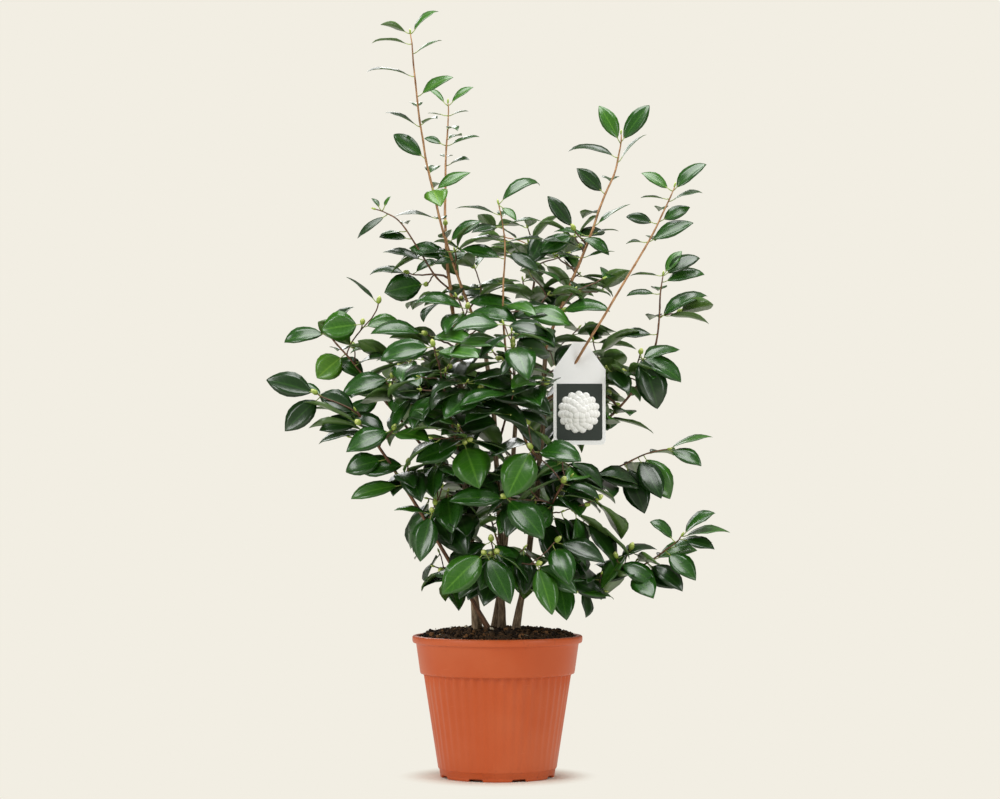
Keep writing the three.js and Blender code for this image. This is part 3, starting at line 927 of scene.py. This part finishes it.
growth = {
    "seed": 2024,
    "leafLow": 0.081,  # the length of a leaf low on the shrub, and high
    "leafHigh": 0.064,
    "leafVaries": 0.14,
    "spread": (48, 74),  # degrees between a twig and its leaves
    # the leaves' climb above level at heights up the shrub, lowest first
    "heights": (0.25, 0.42, 0.6, 0.8, 1.0, 1.17),
    "climbs": (-62, -44, -18, 2, 16, 28),
    "climbVaries": 17,
    "bareTwig": 0.3,  # share of a twig below its first leaf
    "apart": 0.024,
    "twigRadius": (0.0019, 0.0011),
    "reachAcross": 0.004,  # a leaf may pass the shrub's box by this much
    "reachPast": 0.016,  # and the masses by this much
    "lowest": 0.232,  # of the leaves, just above the pot's rim
    "topFrom": 0.78,  # the height where the top's piece begins, and how far back the back's piece does
    "backFrom": 0.02,
    "youngFrom": 0.85,  # twigs above this height are young
    "budChance": 0.16,  # of a bud at a leaf, and of a fat one at a tip
    "fatChance": 0.3,
}

# Each mass of foliage: the limb its twigs leave, and how many there are.
massRows = {
    "crown_upper_left": {"on": "leader_left", "twigs": 8},
    "crown_upper_right": {"on": "leader_right", "twigs": 9},
    "crown_middle_left": {"on": "stem_left", "twigs": 15},
    "crown_middle_right": {"on": "stem_right", "twigs": 14},
    "crown_front_left": {"on": "bough_front_left", "twigs": 13},
    "crown_front_middle": {"on": "bough_front_middle", "twigs": 13},
    "crown_lower_left": {"on": "stem_left", "twigs": 14},
    "crown_lower_right": {"on": "bough_front_right", "twigs": 15},
    "crown_back_left": {"on": "bough_back_left", "twigs": 11},
    "crown_back_right": {"on": "bough_back_right", "twigs": 11},
    "crown_back_top": {"on": "leader_back", "twigs": 5},
    "crown_back_low": {"on": "bough_back_low", "twigs": 14},
    "skirt_left": {"on": "stem_left", "twigs": 6},
    "skirt_front": {"on": "bough_front_low", "twigs": 8},
    "skirt_right": {"on": "bough_right_low", "twigs": 7},
    "foliage_middle_high": {"on": "leader_middle", "twigs": 0},
    "foliage_right_high": {"on": "leader_right", "twigs": 1},
    "foliage_outer_top": {"on": "bough_right_outer", "twigs": 1},
    "foliage_left_upper": {"on": "bough_left_upper", "twigs": 0},
    "foliage_left_fork": {"on": "leader_left", "twigs": 0},
    "foliage_left_long": {"on": "bough_left_long", "twigs": 2},
    "foliage_left_tip": {"on": "bough_left_long", "twigs": 0},
    "foliage_thin_tip": {"on": "stem_thin", "twigs": 0},
    "foliage_thin_middle": {"on": "stem_thin", "twigs": 2},
    "foliage_thin_low": {"on": "stem_thin", "twigs": 0},
    "foliage_low_middle": {"on": "bough_right_low", "twigs": 2},
    "foliage_low_tip": {"on": "bough_right_low", "twigs": 0},
    "foliage_middle_hang": {"on": "bough_right_middle", "twigs": 0},
    "foliage_middle_tip": {"on": "bough_right_middle", "twigs": 0},
    "foliage_centre_top": {"on": "shoot_centre", "twigs": 0},
    "foliage_middle_top": {"on": "leader_middle", "twigs": 0},
    "foliage_left_top": {"on": "leader_left", "twigs": 0},
    "foliage_right_top": {"on": "leader_right", "twigs": 0},
    "foliage_label_top": {"on": "bough_right_label", "twigs": 0},
}

# The leaves that show most, limb by limb: height and then heading and climb in degrees, length, the roll
# of the blade from level towards the viewer, tone, and anything else of its own.
posedLeaves = {
    "leader_middle": [
        (1.15, 15, 42, 0.052, 14, "fresh"), (1.15, 165, 20, 0.044, -25, "green"),
        (1.128, 185, 3, 0.055, 8, "deep"), (1.113, 10, 28, 0.043, 14, "fresh"),
        (1.078, 178, 8, 0.07, 10, "deep"), (1.047, 0, 30, 0.056, 38, "fresh"),
        (1.003, 170, 25, 0.054, 10, "deep"), (1.005, -60, 5, 0.046, 30, "deep"),
        (0.953, 160, 38, 0.062, 82, "green", {"width": 0.42}), (0.905, 15, 28, 0.06, 42, "fresh"),
        (0.912, -70, -38, 0.046, 70, "bright", {"width": 0.9}), (0.862, 180, 4, 0.064, 14, "deep"),
        (0.825, 10, 34, 0.06, 42, "green"), (0.802, 178, 14, 0.06, 62, "green"),
        (0.86, 90, 10, 0.05, 0, "green"), (0.93, 80, 20, 0.05, 0, "green"), (1.03, 100, 15, 0.045, 0, "green"),
    ],
    "leader_left": [
        (1.053, 12, 38, 0.045, 30, "fresh"), (1.053, 170, 42, 0.036, 30, "fresh"),
        (1.036, 175, 10, 0.024, 10, "deep"), (1.036, 10, 15, 0.027, 10, "green"),
        (1.018, -70, -10, 0.044, 34, "green"), (0.99, 175, 20, 0.03, 60, "green"),
        (0.988, 8, 18, 0.048, 16, "green"), (0.957, -30, 10, 0.036, 30, "deep"),
        (0.97, 90, 10, 0.042, 0, "green"), (1.0, 60, 15, 0.04, 0, "green"), (0.925, 110, 5, 0.048, 0, "green"),
    ],
    "shoot_centre": [
        (0.888, 4, 46, 0.086, 48, "green", {"arch": 1.5, "width": 0.28}), (0.886, -30, -40, 0.034, 40, "fresh"),
        (0.866, 180, 10, 0.064, 12, "deep"), (0.85, -10, 5, 0.053, 14, "green"),
        (0.846, 205, -12, 0.046, 40, "deep"), (0.826, 0, 3, 0.055, 12, "deep"),
        (0.826, 180, 3, 0.042, 12, "green"), (0.812, -15, -32, 0.056, 62, "deep"),
        (0.797, 178, 14, 0.06, 52, "green"), (0.86, 80, 15, 0.05, 0, "green"), (0.83, 110, 5, 0.05, 0, "deep"),
    ],
    "leader_right": [
        (0.99, 8, 53, 0.072, 76, "green", {"width": 0.4}), (0.99, 176, 61, 0.062, 74, "fresh", {"width": 0.46}),
        (0.966, 178, 22, 0.078, 30, "deep", {"arch": 0.9, "width": 0.36}),
        (0.96, 5, 46, 0.058, 10, "green", {"width": 0.3}),
        (0.909, 180, 43, 0.054, 80, "deep", {"width": 0.5}), (0.857, 0, 32, 0.06, 16, "green"),
        (0.842, 178, 8, 0.05, 30, "green"), (0.846, 5, 8, 0.038, 10, "deep"),
        (0.808, 180, 8, 0.036, 15, "deep"), (0.806, 0, 12, 0.046, 18, "green"),
        (0.93, 90, 10, 0.06, 0, "green"), (0.88, 110, 0, 0.06, 0, "deep"), (0.83, 80, 10, 0.055, 0, "green"),
    ],
    "bough_right_label": [
        (0.9, 6, 40, 0.062, 44, "green"), (0.9, 178, 32, 0.048, 50, "fresh"),
        (0.887, 185, 3, 0.036, 10, "deep"), (0.885, 0, 16, 0.048, 20, "green"),
        (0.85, 180, 14, 0.042, 70, "deep"), (0.852, 4, 26, 0.046, 66, "green"),
        (0.822, 0, 24, 0.068, 52, "green"), (0.82, 185, -4, 0.026, 20, "deep"),
        (0.87, 95, 5, 0.05, 0, "green"), (0.83, 80, 0, 0.05, 0, "deep"),
    ],
    "bough_right_outer": [
        (0.808, 0, 27, 0.06, 50, "deep"), (0.808, 15, 52, 0.044, 50, "fresh"),
        (0.79, 180, 2, 0.044, 12, "deep"), (0.773, 0, 12, 0.064, 46, "green"),
        (0.752, 180, -2, 0.046, 30, "green"), (0.716, 0, 34, 0.088, 44, "green", {"arch": 1.3, "width": 0.36}),
        (0.69, 180, -4, 0.06, 30, "deep"), (0.76, 90, 5, 0.05, 0, "green"), (0.72, 100, 0, 0.055, 0, "deep"),
    ],
    "bough_left_long": [
        (0.686, 184, -10, 0.064, 52, "green"), (0.69, 0, 45, 0.05, 30, "deep"),
        (0.655, 192, -40, 0.05, 82, "bright", {"width": 0.95}), (0.66, 100, 5, 0.055, 0, "deep"),
        (0.612, 172, 34, 0.056, 46, "green"), (0.635, -50, 10, 0.062, 40, "deep"),
        (0.585, 190, -30, 0.064, 62, "green"),
    ],
    "bough_left_upper": [
        (0.874, 150, 48, 0.022, 20, "green"), (0.874, 20, 60, 0.02, 20, "fresh"),
        (0.87, 200, -38, 0.056, 56, "deep", {"width": 0.26}), (0.842, 182, -6, 0.034, 20, "green"),
        (0.83, 180, 5, 0.044, 50, "deep"), (0.855, 80, 5, 0.04, 0, "green"), (0.8, 178, 12, 0.06, 32, "deep"),
        (0.79, 10, 20, 0.058, 40, "green"),
    ],
    "stem_thin": [
        (0.556, 178, 28, 0.062, 62, "deep"), (0.552, 180, 10, 0.08, 14, "fresh", {"width": 0.34}),
        (0.546, 184, -9, 0.062, 60, "deep"), (0.532, 182, -12, 0.072, 24, "green"),
        (0.49, 178, -16, 0.06, 66, "green"), (0.452, 182, -14, 0.076, 60, "fresh", {"width": 0.4}),
        (0.52, 70, 0, 0.06, 0, "deep"), (0.47, -60, -20, 0.06, 40, "deep"),
    ],
    "bough_right_middle": [
        (0.51, 4, 16, 0.068, 20, "fresh", {"width": 0.36}), (0.51, -20, -24, 0.054, 50, "green"),
        (0.498, -14, -58, 0.074, 76, "fresh", {"width": 0.6}), (0.5, 50, 0, 0.06, 0, "green"),
        (0.493, -50, -50, 0.074, 60, "deep"), (0.488, 80, -20, 0.066, 0, "deep"),
        (0.484, -30, -66, 0.076, 60, "deep"),
    ],
    "bough_right_low": [
        (0.378, 4, 36, 0.058, 18, "green"), (0.378, 0, 6, 0.068, 16, "fresh"),
        (0.37, -20, -14, 0.05, 40, "deep"), (0.365, 176, 40, 0.044, 30, "green"),
        (0.355, 6, 8, 0.06, 24, "green"), (0.35, -30, -40, 0.06, 60, "green"),
        (0.342, 60, 0, 0.06, 0, "deep"), (0.338, 10, 12, 0.064, 36, "fresh"),
        (0.332, -20, -36, 0.064, 40, "deep"), (0.326, 176, -20, 0.056, 50, "deep"),
    ],
}

# Sprays placed one by one: the mass, shares of its box for the tip of the twig, and the leaves there as above
# but without a height.
posedSprays = [
    ("foliage_thin_tip", (0.66, 0.45, 0.6), [(178, 16, 0.074, 70, "deep"), (184, -44, 0.068, 78, "deep"),
                                            (150, 30, 0.04, 20, "green")]),
    ("foliage_thin_low", (0.85, 0.4, 0.9), [(184, -6, 0.07, 46, "green"), (-70, -36, 0.074, 60, "deep")]),
    ("foliage_thin_middle", (0.9, 0.3, 0.35), [(200, -24, 0.074, 60, "green"), (-40, -10, 0.07, 40, "fresh"),
                                              (170, 20, 0.066, 40, "deep")]),
    ("foliage_left_fork", (0.52, 0.3, 0.62), [(180, 0, 0.056, 30, "deep"), (20, 30, 0.04, 40, "green")]),
    ("foliage_left_fork", (0.85, 0.3, 0.45), [(182, -12, 0.062, 80, "green", {"width": 0.75})]),
    ("foliage_left_long", (0.72, 0.5, 0.86), [(170, 40, 0.06, 12, "deep", {"width": 0.3})]),
    ("foliage_left_long", (0.5, 0.2, 0.62), [(186, -8, 0.056, 84, "fresh", {"width": 0.9}),
                                            (20, 10, 0.055, 60, "fresh")]),
    ("foliage_right_high", (0.42, 0.3, 0.3), [(176, 52, 0.062, 80, "deep", {"width": 0.42}),
                                             (182, -28, 0.058, 70, "green"), (10, -30, 0.05, 50, "green")]),
    ("foliage_low_middle", (0.5, 0.3, 0.28), [(4, -16, 0.068, 46, "deep"), (-60, -30, 0.06, 56, "green"),
                                             (150, 14, 0.056, 30, "green")]),
    ("foliage_low_middle", (0.2, 0.3, 0.6), [(20, 12, 0.062, 20, "deep"), (-20, -30, 0.064, 60, "green")]),
    ("crown_middle_right", (0.93, 0.3, 0.8), [(-10, -72, 0.084, 62, "deep"), (0, -30, 0.07, 50, "green"),
                                             (20, 14, 0.065, 30, "green")]),
    ("crown_lower_left", (0.68, 0.06, 0.92), [(-64, -52, 0.078, 80, "fresh", {"width": 0.78}),
                                            (190, -20, 0.07, 60, "green")]),
    ("crown_lower_right", (0.3, 0.06, 0.92), [(-140, -56, 0.082, 76, "fresh", {"width": 0.7}),
                                              (-20, -10, 0.07, 50, "green")]),
    ("crown_lower_right", (0.08, 0.04, 0.4), [(-34, -42, 0.086, 64, "green"),
                                             (182, -2, 0.082, 62, "green", {"width": 0.46})]),
    ("crown_lower_left", (0.34, 0.1, 0.16), [(214, -74, 0.07, 40, "green", {"width": 0.62}),
                                            (186, 6, 0.05, 16, "fresh")]),
    ("skirt_front", (0.42, 0.1, 0.7), [(208, -40, 0.086, 70, "fresh", {"width": 0.6}),
                                      (-36, -58, 0.08, 60, "green", {"width": 0.54})]),
    ("skirt_front", (0.92, 0.14, 0.56), [(-52, -64, 0.076, 60, "fresh", {"width": 0.52}),
                                       (-8, -34, 0.07, 62, "green")]),
    ("skirt_front", (1.1, 0.3, 0.84), [(-10, -22, 0.074, 50, "deep"), (-60, -50, 0.07, 60, "green")]),
    ("skirt_right", (0.36, 0.3, 0.5), [(6, -24, 0.074, 58, "deep"), (-70, -60, 0.066, 60, "green")]),
    ("crown_back_low", (0.5, 0.6, 0.02), [(60, -30, 0.076, 0, "green"), (120, -44, 0.07, 0, "deep")]),
    ("crown_front_left", (0.3, 0.3, 0.92), [(188, -14, 0.078, 64, "green"), (-40, -8, 0.08, 30, "fresh")]),
    ("crown_front_left", (0.78, 0.36, 0.55), [(-130, -30, 0.082, 56, "green", {"width": 0.62}),
                                             (0, -12, 0.076, 48, "deep")]),
    ("crown_front_middle", (0.4, 0.36, 0.7), [(-70, -40, 0.08, 60, "green", {"width": 0.62}),
                                             (186, 4, 0.074, 30, "fresh")]),
    ("crown_upper_left", (0.62, 0.12, 0.16), [(190, 6, 0.078, 34, "green"), (-20, -12, 0.08, 46, "green")]),
    ("crown_upper_right", (0.16, 0.12, 0.14), [(176, 10, 0.076, 40, "green"), (-10, -14, 0.08, 50, "fresh")]),
    ("crown_upper_right", (0.5, 0.14, 0.14), [(186, -8, 0.074, 40, "deep"), (-20, 0, 0.078, 36, "green")]),
    ("crown_middle_left", (0.5, 0.16, 0.9), [(184, 2, 0.08, 36, "green"), (-40, -10, 0.08, 40, "fresh")]),
    ("crown_middle_left", (0.2, 0.2, 0.5), [(190, -20, 0.078, 56, "green"), (-60, -20, 0.08, 56, "deep")]),
]


class Mass:
    # a CAD mass as a place to fill: its box, and whether a point is in it
    def __init__(self, node):
        bm = solidCopy(node)
        bmesh.ops.recalc_face_normals(bm, faces=bm.faces)
        self.tree = BVHTree.FromBMesh(bm)
        bm.free()
        self.low, self.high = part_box(node)
        self.middle = (self.low + self.high) / 2

    def depth(self, point):
        # how deep a point lies, below 0 outside
        place, normal, _, away = self.tree.find_nearest(point)
        return -away if (point - place).dot(normal) > 0 else away

    def near(self, point, reach):
        if any(point[axis] < self.low[axis] - reach or point[axis] > self.high[axis] + reach for axis in range(3)):
            return False
        return self.depth(point) > -reach

    def spread(self, count, depth, chance):
        # points in it that keep well apart
        chosen = []
        for _ in range(count):
            best = None
            for _ in range(60):
                point = Vector(chance.uniform(self.low[axis], self.high[axis]) for axis in range(3))
                if not depth[0] < self.depth(point) < depth[1]:
                    continue
                room = min(((point - other).length for other in chosen), default=1)
                if best is None or room > best[0]:
                    best = (room, point)
            if best:
                chosen.append(best[1])
        return chosen


def twigTo(tip, wood, owner, chance):
    # the likeliest place on the wood for a twig to this tip, and the twig's curve
    def cost(item):
        place, heading, _, name = item
        span = tip - place
        length = max(1e-4, span.length)
        turn = 1 - span.dot(heading) / length
        return length * (1 + 0.55 * turn) + 1.2 * max(0, place.z - tip.z) + (0 if name == owner else 0.02)

    near = [item for item in wood if (item[0] - tip).length > 0.03]
    place, heading, radius, _ = min(near, key=cost)
    span = tip - place
    start = (heading * 0.6 + span.normalized()).normalized()
    out = Vector((tip.x, tip.y, 0)).normalized() * 0.5 + up * 0.5
    end = (span.normalized() + out * 0.7).normalized()
    first, last = place + start * span.length * 0.35, tip - end * span.length * 0.3
    count = max(4, ceil(span.length / 0.007))
    points = []
    for step in range(count + 1):
        t = step / count
        point = place * (1 - t) ** 3 + first * 3 * t * (1 - t) ** 2 + last * 3 * t * t * (1 - t) + tip * t ** 3
        if 0 < step < count:
            point += Vector(chance.uniform(-1, 1) for _ in range(3)) * 0.0006
        points.append(point)
    return points, min(radius * 0.8, growth["twigRadius"][0] * (0.8 + span.length * 3))


def leafHeading(base, heading, number, chance):
    # alternate leaves lie to the two sides of a leaning twig and turn round an upright one
    spread = radians(chance.uniform(*growth["spread"]))
    away = Vector((base.x, base.y, 0))
    outward = away.normalized() if away.length > 0.02 else Vector((0, -1, 0))
    flat = Vector((heading.x, heading.y, 0))
    if flat.length > 0.55:
        side = flat.cross(up).normalized() * (1 if number % 2 else -1)
    else:
        turn = number * radians(137.5) + chance.uniform(-0.4, 0.4)
        side = Vector((cos(turn), sin(turn), 0)) + outward * 0.35
        side.normalize()
    axis = heading * cos(spread) + side * sin(spread)
    target = radians(np.interp(base.z, growth["heights"], growth["climbs"]))
    climb = target * 0.75 + 0.25 * axis.z + radians(chance.gauss(0, growth["climbVaries"]))
    climb = max(-1.35, min(1.1, climb))
    level = Vector((axis.x, axis.y, 0))
    level = level.normalized() if level.length > 0.05 else outward
    axis = level * cos(climb) + up * sin(climb)
    normal = up + outward * 0.45 + Vector(chance.gauss(0, 0.22) for _ in range(3))
    return axis.normalized(), normal


def pickTone(chance, height):
    roll = chance.random()
    young = eased(0.7, 1.1, height)
    if roll < 0.5 - 0.3 * young:
        return "deep"
    return "green" if roll < 0.88 - 0.2 * young else "fresh"


def partOf(place):
    # the leaf piece that a leaf or a mass at this place belongs to
    if place.z > growth["topFrom"]:
        return "leaves_top"
    return "leaves_front" if place.y < growth["backFrom"] else "leaves_back"


class Shrub:
    # the limbs, and all that grows on them
    def __init__(self):
        self.limbs = readLimbs()
        self.wood, self.twigs = [], []
        self.regions = {name: Foliage(name) for name in ("leaves_front", "leaves_back", "leaves_top")}
        self.twigBunch, self.buds = Bunch(), Bunch()
        self.pattern = leafPattern()
        self.bud = budPattern()
        self.masses = [Mass(name) for name in massRows]
        spare = growth["reachAcross"]
        self.low = Vector((cadBox[0].x - spare, cadBox[0].y - spare, growth["lowest"]))
        self.high = cadBox[1] + Vector((spare, spare, spare))
        low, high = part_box("label_card")
        self.labelLow = low - Vector((0.004, 0.3, 0.004))
        self.labelHigh = high + Vector((0.004, 0.012, -0.01))
        for name, limb in self.limbs.items():
            self.addWood(limb, 0.012)

    def addWood(self, limb, spacing):
        for step in range(1, int(limb.length / spacing) + 1):
            self.wood.append((*limb.at(step * spacing / limb.length), limb.owner))

    def clear(self, tip, *points):
        # inside the shrub's box, above the soil, off the label and not far out of the masses
        if not any(mass.near(tip, growth["reachPast"]) for mass in self.masses):
            return False
        low, high = self.low, self.high
        for point in (tip, *points):
            if any(not low[axis] < point[axis] < high[axis] for axis in range(3)):
                return False
            if all(self.labelLow[axis] < point[axis] < self.labelHigh[axis] for axis in range(3)):
                return False
        return True

    def leafOn(self, limb, share, number, size, chance):
        place, heading, radius = limb.at(share)
        varies = growth["leafVaries"]
        for _ in range(9):
            axis, normal = leafHeading(place, heading, number, chance)
            length = size * chance.uniform(1 - varies, 1 + varies)
            base = place + axis * radius * 0.6
            tip = base + axis * length - up * 0.2 * length
            if self.clear(tip, base + axis * length * 0.5, base + axis * length):
                tone = pickTone(chance, base.z)
                addLeaf(self.regions[partOf(base)], self.pattern, base, axis, normal, length, tone, chance)
                return True
        return False

    def poseLeaf(self, place, radius, row, chance):
        # one leaf as its row has it
        heading, climb, length, roll, tone, *own = row
        turn, rise, tip = radians(heading), radians(climb), radians(roll)
        axis = Vector((cos(rise) * cos(turn), cos(rise) * sin(turn), sin(rise)))
        normal = Vector((0, -sin(tip), cos(tip)))
        if roll == 0:
            normal = up + Vector((cos(turn), sin(turn), 0)) * 0.2
        base = place + axis * radius * 0.6
        addLeaf(self.regions[partOf(base)], self.pattern, base, axis, normal, length, tone, chance, *own)

    def dress(self, limb, chance, posed=()):
        # alternate leaves up to the tip, then a last pair with a bud between, or up to the posed leaves
        for height, *row in posed:
            place, _, radius = limb.at(limb.shareAt(height))
            self.poseLeaf(place, radius, row, chance)
        stop = limb.length - 0.012
        if posed:
            stop = limb.shareAt(min(row[0] for row in posed)) * limb.length - limb.apart
        number = chance.randrange(4)
        along = limb.leafy * limb.length
        while along < stop:
            self.leafOn(limb, along / limb.length, number, limb.leaf, chance)
            if chance.random() < growth["budChance"]:
                self.budOn(limb, along / limb.length, chance, 0.011, 0.8)
            number += 1
            along += limb.apart * chance.uniform(0.75, 1.25)
        if not posed:
            for extra in range(2 + (chance.random() < 0.5)):
                self.leafOn(limb, 1 - extra * 0.003, number + extra, limb.leaf * chance.uniform(0.8, 1), chance)
        fat = chance.random() < growth["fatChance"] and not posed
        self.budOn(limb, 1, chance, 0.014 if fat else 0.009, 0.75 if fat else 0.4)

    def twigAt(self, tip, owner, chance):
        # a twig from the likeliest wood to its tip
        points, radius = twigTo(tip, self.wood, owner, chance)
        radii = np.linspace(radius, growth["twigRadius"][1], len(points)).tolist()
        leaf = mixed(growth["leafLow"], growth["leafHigh"], eased(0.5, 0.9, tip.z))
        twig = Limb(points, radii, growth["bareTwig"], growth["apart"], leaf, owner)
        self.twigs.append(twig)
        self.addWood(twig, 0.01)
        addTube(self.twigBunch, points, radii, 5, 1 if tip.z < growth["youngFrom"] else 0)
        return twig

    def budOn(self, limb, share, chance, length, plump):
        place, heading, radius = limb.at(share)
        lean = heading if share == 1 else (heading + Vector(chance.gauss(0, 0.5) for _ in range(3))).normalized()
        addBud(self.buds, self.bud, place + lean * radius * 0.4, lean, length, plump, chance)

    def grow(self, chance):
        for mass, shares, rows in posedSprays:
            twig = self.twigAt(boxPlace(mass, shares), massRows[mass]["on"], chance)
            for index, row in enumerate(rows):
                place, _, radius = twig.at(1 - 0.006 * index / twig.length)
                self.poseLeaf(place, radius, row, chance)
            self.budOn(twig, 1, chance, 0.013, 0.7)
        for mass, row in zip(self.masses, massRows.values()):
            tips = mass.spread(row["twigs"], (0.012, 0.06), chance)
            tips.sort(key=lambda tip: min((tip - item[0]).length for item in self.wood))
            for tip in tips:
                self.dress(self.twigAt(tip, row["on"], chance), chance)
        for name, limb in self.limbs.items():
            if limb.leafy < 1:
                self.dress(limb, chance, posedLeaves.get(name, ()))


def budPattern():
    # a pointed egg of overlapping scales
    bm = bmesh.new()
    bmesh.ops.create_uvsphere(bm, u_segments=7, v_segments=6, radius=1)
    for vert in bm.verts:
        share = (vert.co.z + 1) / 2
        narrow = 1 - 0.45 * share ** 3
        vert.co.x *= narrow
        vert.co.y *= narrow
    bm.verts.index_update()
    places = np.array([vert.co for vert in bm.verts])
    faces = [[vert.index for vert in face.verts] for face in bm.faces]
    slots = [0 if face.calc_center_median().z < 0.3 else 1 for face in bm.faces]
    bm.free()
    return places, faces, slots


def addBud(bunch, pattern, base, lean, length, plump, chance):
    places, faces, slots = pattern
    side = lean.orthogonal().normalized()
    across = lean.cross(side)
    shape = places * (length * plump / 2, length * plump / 2, length / 2)
    shape[:, 2] += length * 0.42
    placed = np.array(base) + shape[:, :1] * np.array(side) + shape[:, 1:2] * np.array(across)
    bunch.add(placed + shape[:, 2:] * np.array(lean), faces, slots)


twigRows = [("young twig", tint(168, 118, 78), 0.6), ("brown twig", tint(92, 64, 46), 0.65)]
budRows = [("bud green", tint(150, 172, 70), 0.4), ("bud tip", tint(196, 206, 120), 0.4)]
youngLimbs = ("leader_middle", "leader_left", "leader_right", "shoot_centre", "bough_right_label")


def buildShrub():
    chance = Random(growth["seed"])
    shrub = Shrub()
    finishes = {key: barkFinish(key + " bark", look) for key, look in barkLook.items()}
    total = 0
    for name, limb in shrub.limbs.items():
        old = name.startswith("stem") and name != "stem_thin"
        total += buildLimb(name, limb, finishes["old" if old else "young" if name in youngLimbs else "brown"])
    print("limbs", total, "faces")
    shrub.grow(chance)
    leafMaterials = [leafFinish("leaf " + tone, look) for tone, look in leafTones.items()]
    leafMaterials += [leafFinish("leaf underside", underTone), leafFinish("leaf underside bright", brightUnder)]
    leafMaterials.append(plainFinish("leaf stalk", stalkTone, 0.45))
    shares = splitMasses()
    for name, foliage in shrub.regions.items():
        piece = foliage.bunch.piece(name, leafMaterials)
        settle(piece, "leaf_green", *shares[name])
        print(name, foliage.leaves, "leaves", len(piece.data.polygons), "faces")
    twigs = shrub.twigBunch.piece("twigs", [plainFinish(*row) for row in twigRows])
    settle(twigs, "shoot_bark")
    buds = shrub.buds.piece("buds", [plainFinish(*row) for row in budRows])
    settle(buds, "leaf_green")
    print("twigs", len(shrub.twigs), "buds", len(shrub.buds.slots) // len(shrub.bud[1]))


def splitMasses():
    # each leaf piece stands for the masses in its own part of the shrub
    shares = {"leaves_front": [], "leaves_back": [], "leaves_top": []}
    for name in massRows:
        shares[partOf(sum(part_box(name), Vector()) / 2)].append(name)
    return shares


# ---- the label

label = {
    "corner": 0.007, "thickness": 0.0008, "headWidth": 0.02, "height": 0.115,
    "panel": {"width": 0.07, "height": 0.087, "up": 0.0065, "corner": 0.005, "thickness": 0.0003},
    "petals": {"rings": ((15, 0.0255), (13, 0.021), (11, 0.016), (8, 0.011), (5, 0.0055)), "size": 0.0115},
    "card": tint(253, 254, 255), "ink": tint(50, 58, 54), "petal": tint(252, 252, 250),
}


def plate(bm, corners, y):
    # an upright plate, its outline given as places in x and z
    verts = [bm.verts.new((x, y, z)) for x, z in corners]
    bm.faces.new(verts)
    return verts


def thicken(bm, thickness):
    grown = bmesh.ops.extrude_face_region(bm, geom=bm.faces[:])["geom"]
    moved = [item for item in grown if isinstance(item, bmesh.types.BMVert)]
    bmesh.ops.translate(bm, verts=moved, vec=(0, thickness, 0))
    bmesh.ops.recalc_face_normals(bm, faces=bm.faces)


def roundOff(bm, verts, corner):
    bmesh.ops.bevel(bm, geom=verts, offset=corner, affect="VERTICES", segments=6, profile=0.5, material=-1)


def buildLabel():
    low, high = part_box("label_card")
    look, panel = label, label["panel"]
    middle = (low.x + high.x) / 2
    front = low.y + 0.0002
    half, head, tall = (high.x - low.x) / 2, look["headWidth"] / 2, high.z - low.z
    bm = bmesh.new()
    corners = [(-half, 0), (half, 0), (half, look["height"]), (head, tall), (-head, tall), (-half, look["height"])]
    verts = plate(bm, [(middle + x, low.z + z) for x, z in corners], front)
    roundOff(bm, verts[:2], look["corner"])
    thicken(bm, look["thickness"])
    card = pieceFrom(bm, "label_board", [cardFinish("label card", look["card"])], smooth=False)
    settle(card, "label_plastic", "label_card")

    ink = cardFinish("label print", look["ink"])
    left, right = middle - panel["width"] / 2, middle + panel["width"] / 2
    bottom = low.z + panel["up"]
    top = bottom + panel["height"]
    for name, y in (("label_panel", front - panel["thickness"]), ("label_panel_back", front + look["thickness"])):
        bm = bmesh.new()
        verts = plate(bm, [(left, bottom), (right, bottom), (right, top), (left, top)], y)
        roundOff(bm, verts[:2], panel["corner"])
        thicken(bm, panel["thickness"])
        settle(pieceFrom(bm, name, [ink], smooth=False), "label_plastic")
    buildRosette(Vector((middle - 0.001, front - panel["thickness"], bottom + panel["height"] * 0.5)))
    print("label", len(card.data.polygons), "faces")


def buildRosette(middle):
    # a plain many-petalled bloom in shallow relief
    petals = Bunch()
    bm = bmesh.new()
    bmesh.ops.create_uvsphere(bm, u_segments=8, v_segments=6, radius=1)
    shape = np.array([vert.co for vert in bm.verts])
    faces = [[vert.index for vert in face.verts] for face in bm.faces]
    bm.free()
    size = label["petals"]["size"]
    for level, (count, away) in enumerate(label["petals"]["rings"]):
        for index in range(count):
            turn = tau * (index + 0.5 * (level % 2)) / count
            lump = shape * (size * 0.58, 0.0016, size * 0.64) + (0, -0.0009 * level, away)
            spun = np.array(Matrix.Rotation(turn, 3, "Y"))
            petals.add(lump @ spun.T + np.array(middle), faces, [0] * len(faces))
    piece = petals.piece("label_rosette", [cardFinish("rosette print", label["petal"])])
    settle(piece, "label_plastic")


def cardFinish(name, colour):
    card = Finish(name, Roughness=0.35, Specular_IOR_Level=0.5)
    mottle = card.noise(card.place(), 160, 4, 0.6)
    shade = tuple(part * 0.96 for part in colour[:3]) + (1,)
    card.link("Base Color", card.mix(card.between(mottle, 0.45, 0.8) * 0.4, colour, shade))
    card.link("Roughness", 0.3 + 0.15 * mottle)
    card.bump(mottle, 0.1, 0.0002)
    return card.material


lightStudio()
layFloor()
buildPot()
buildSoil()
buildShrub()
buildLabel()
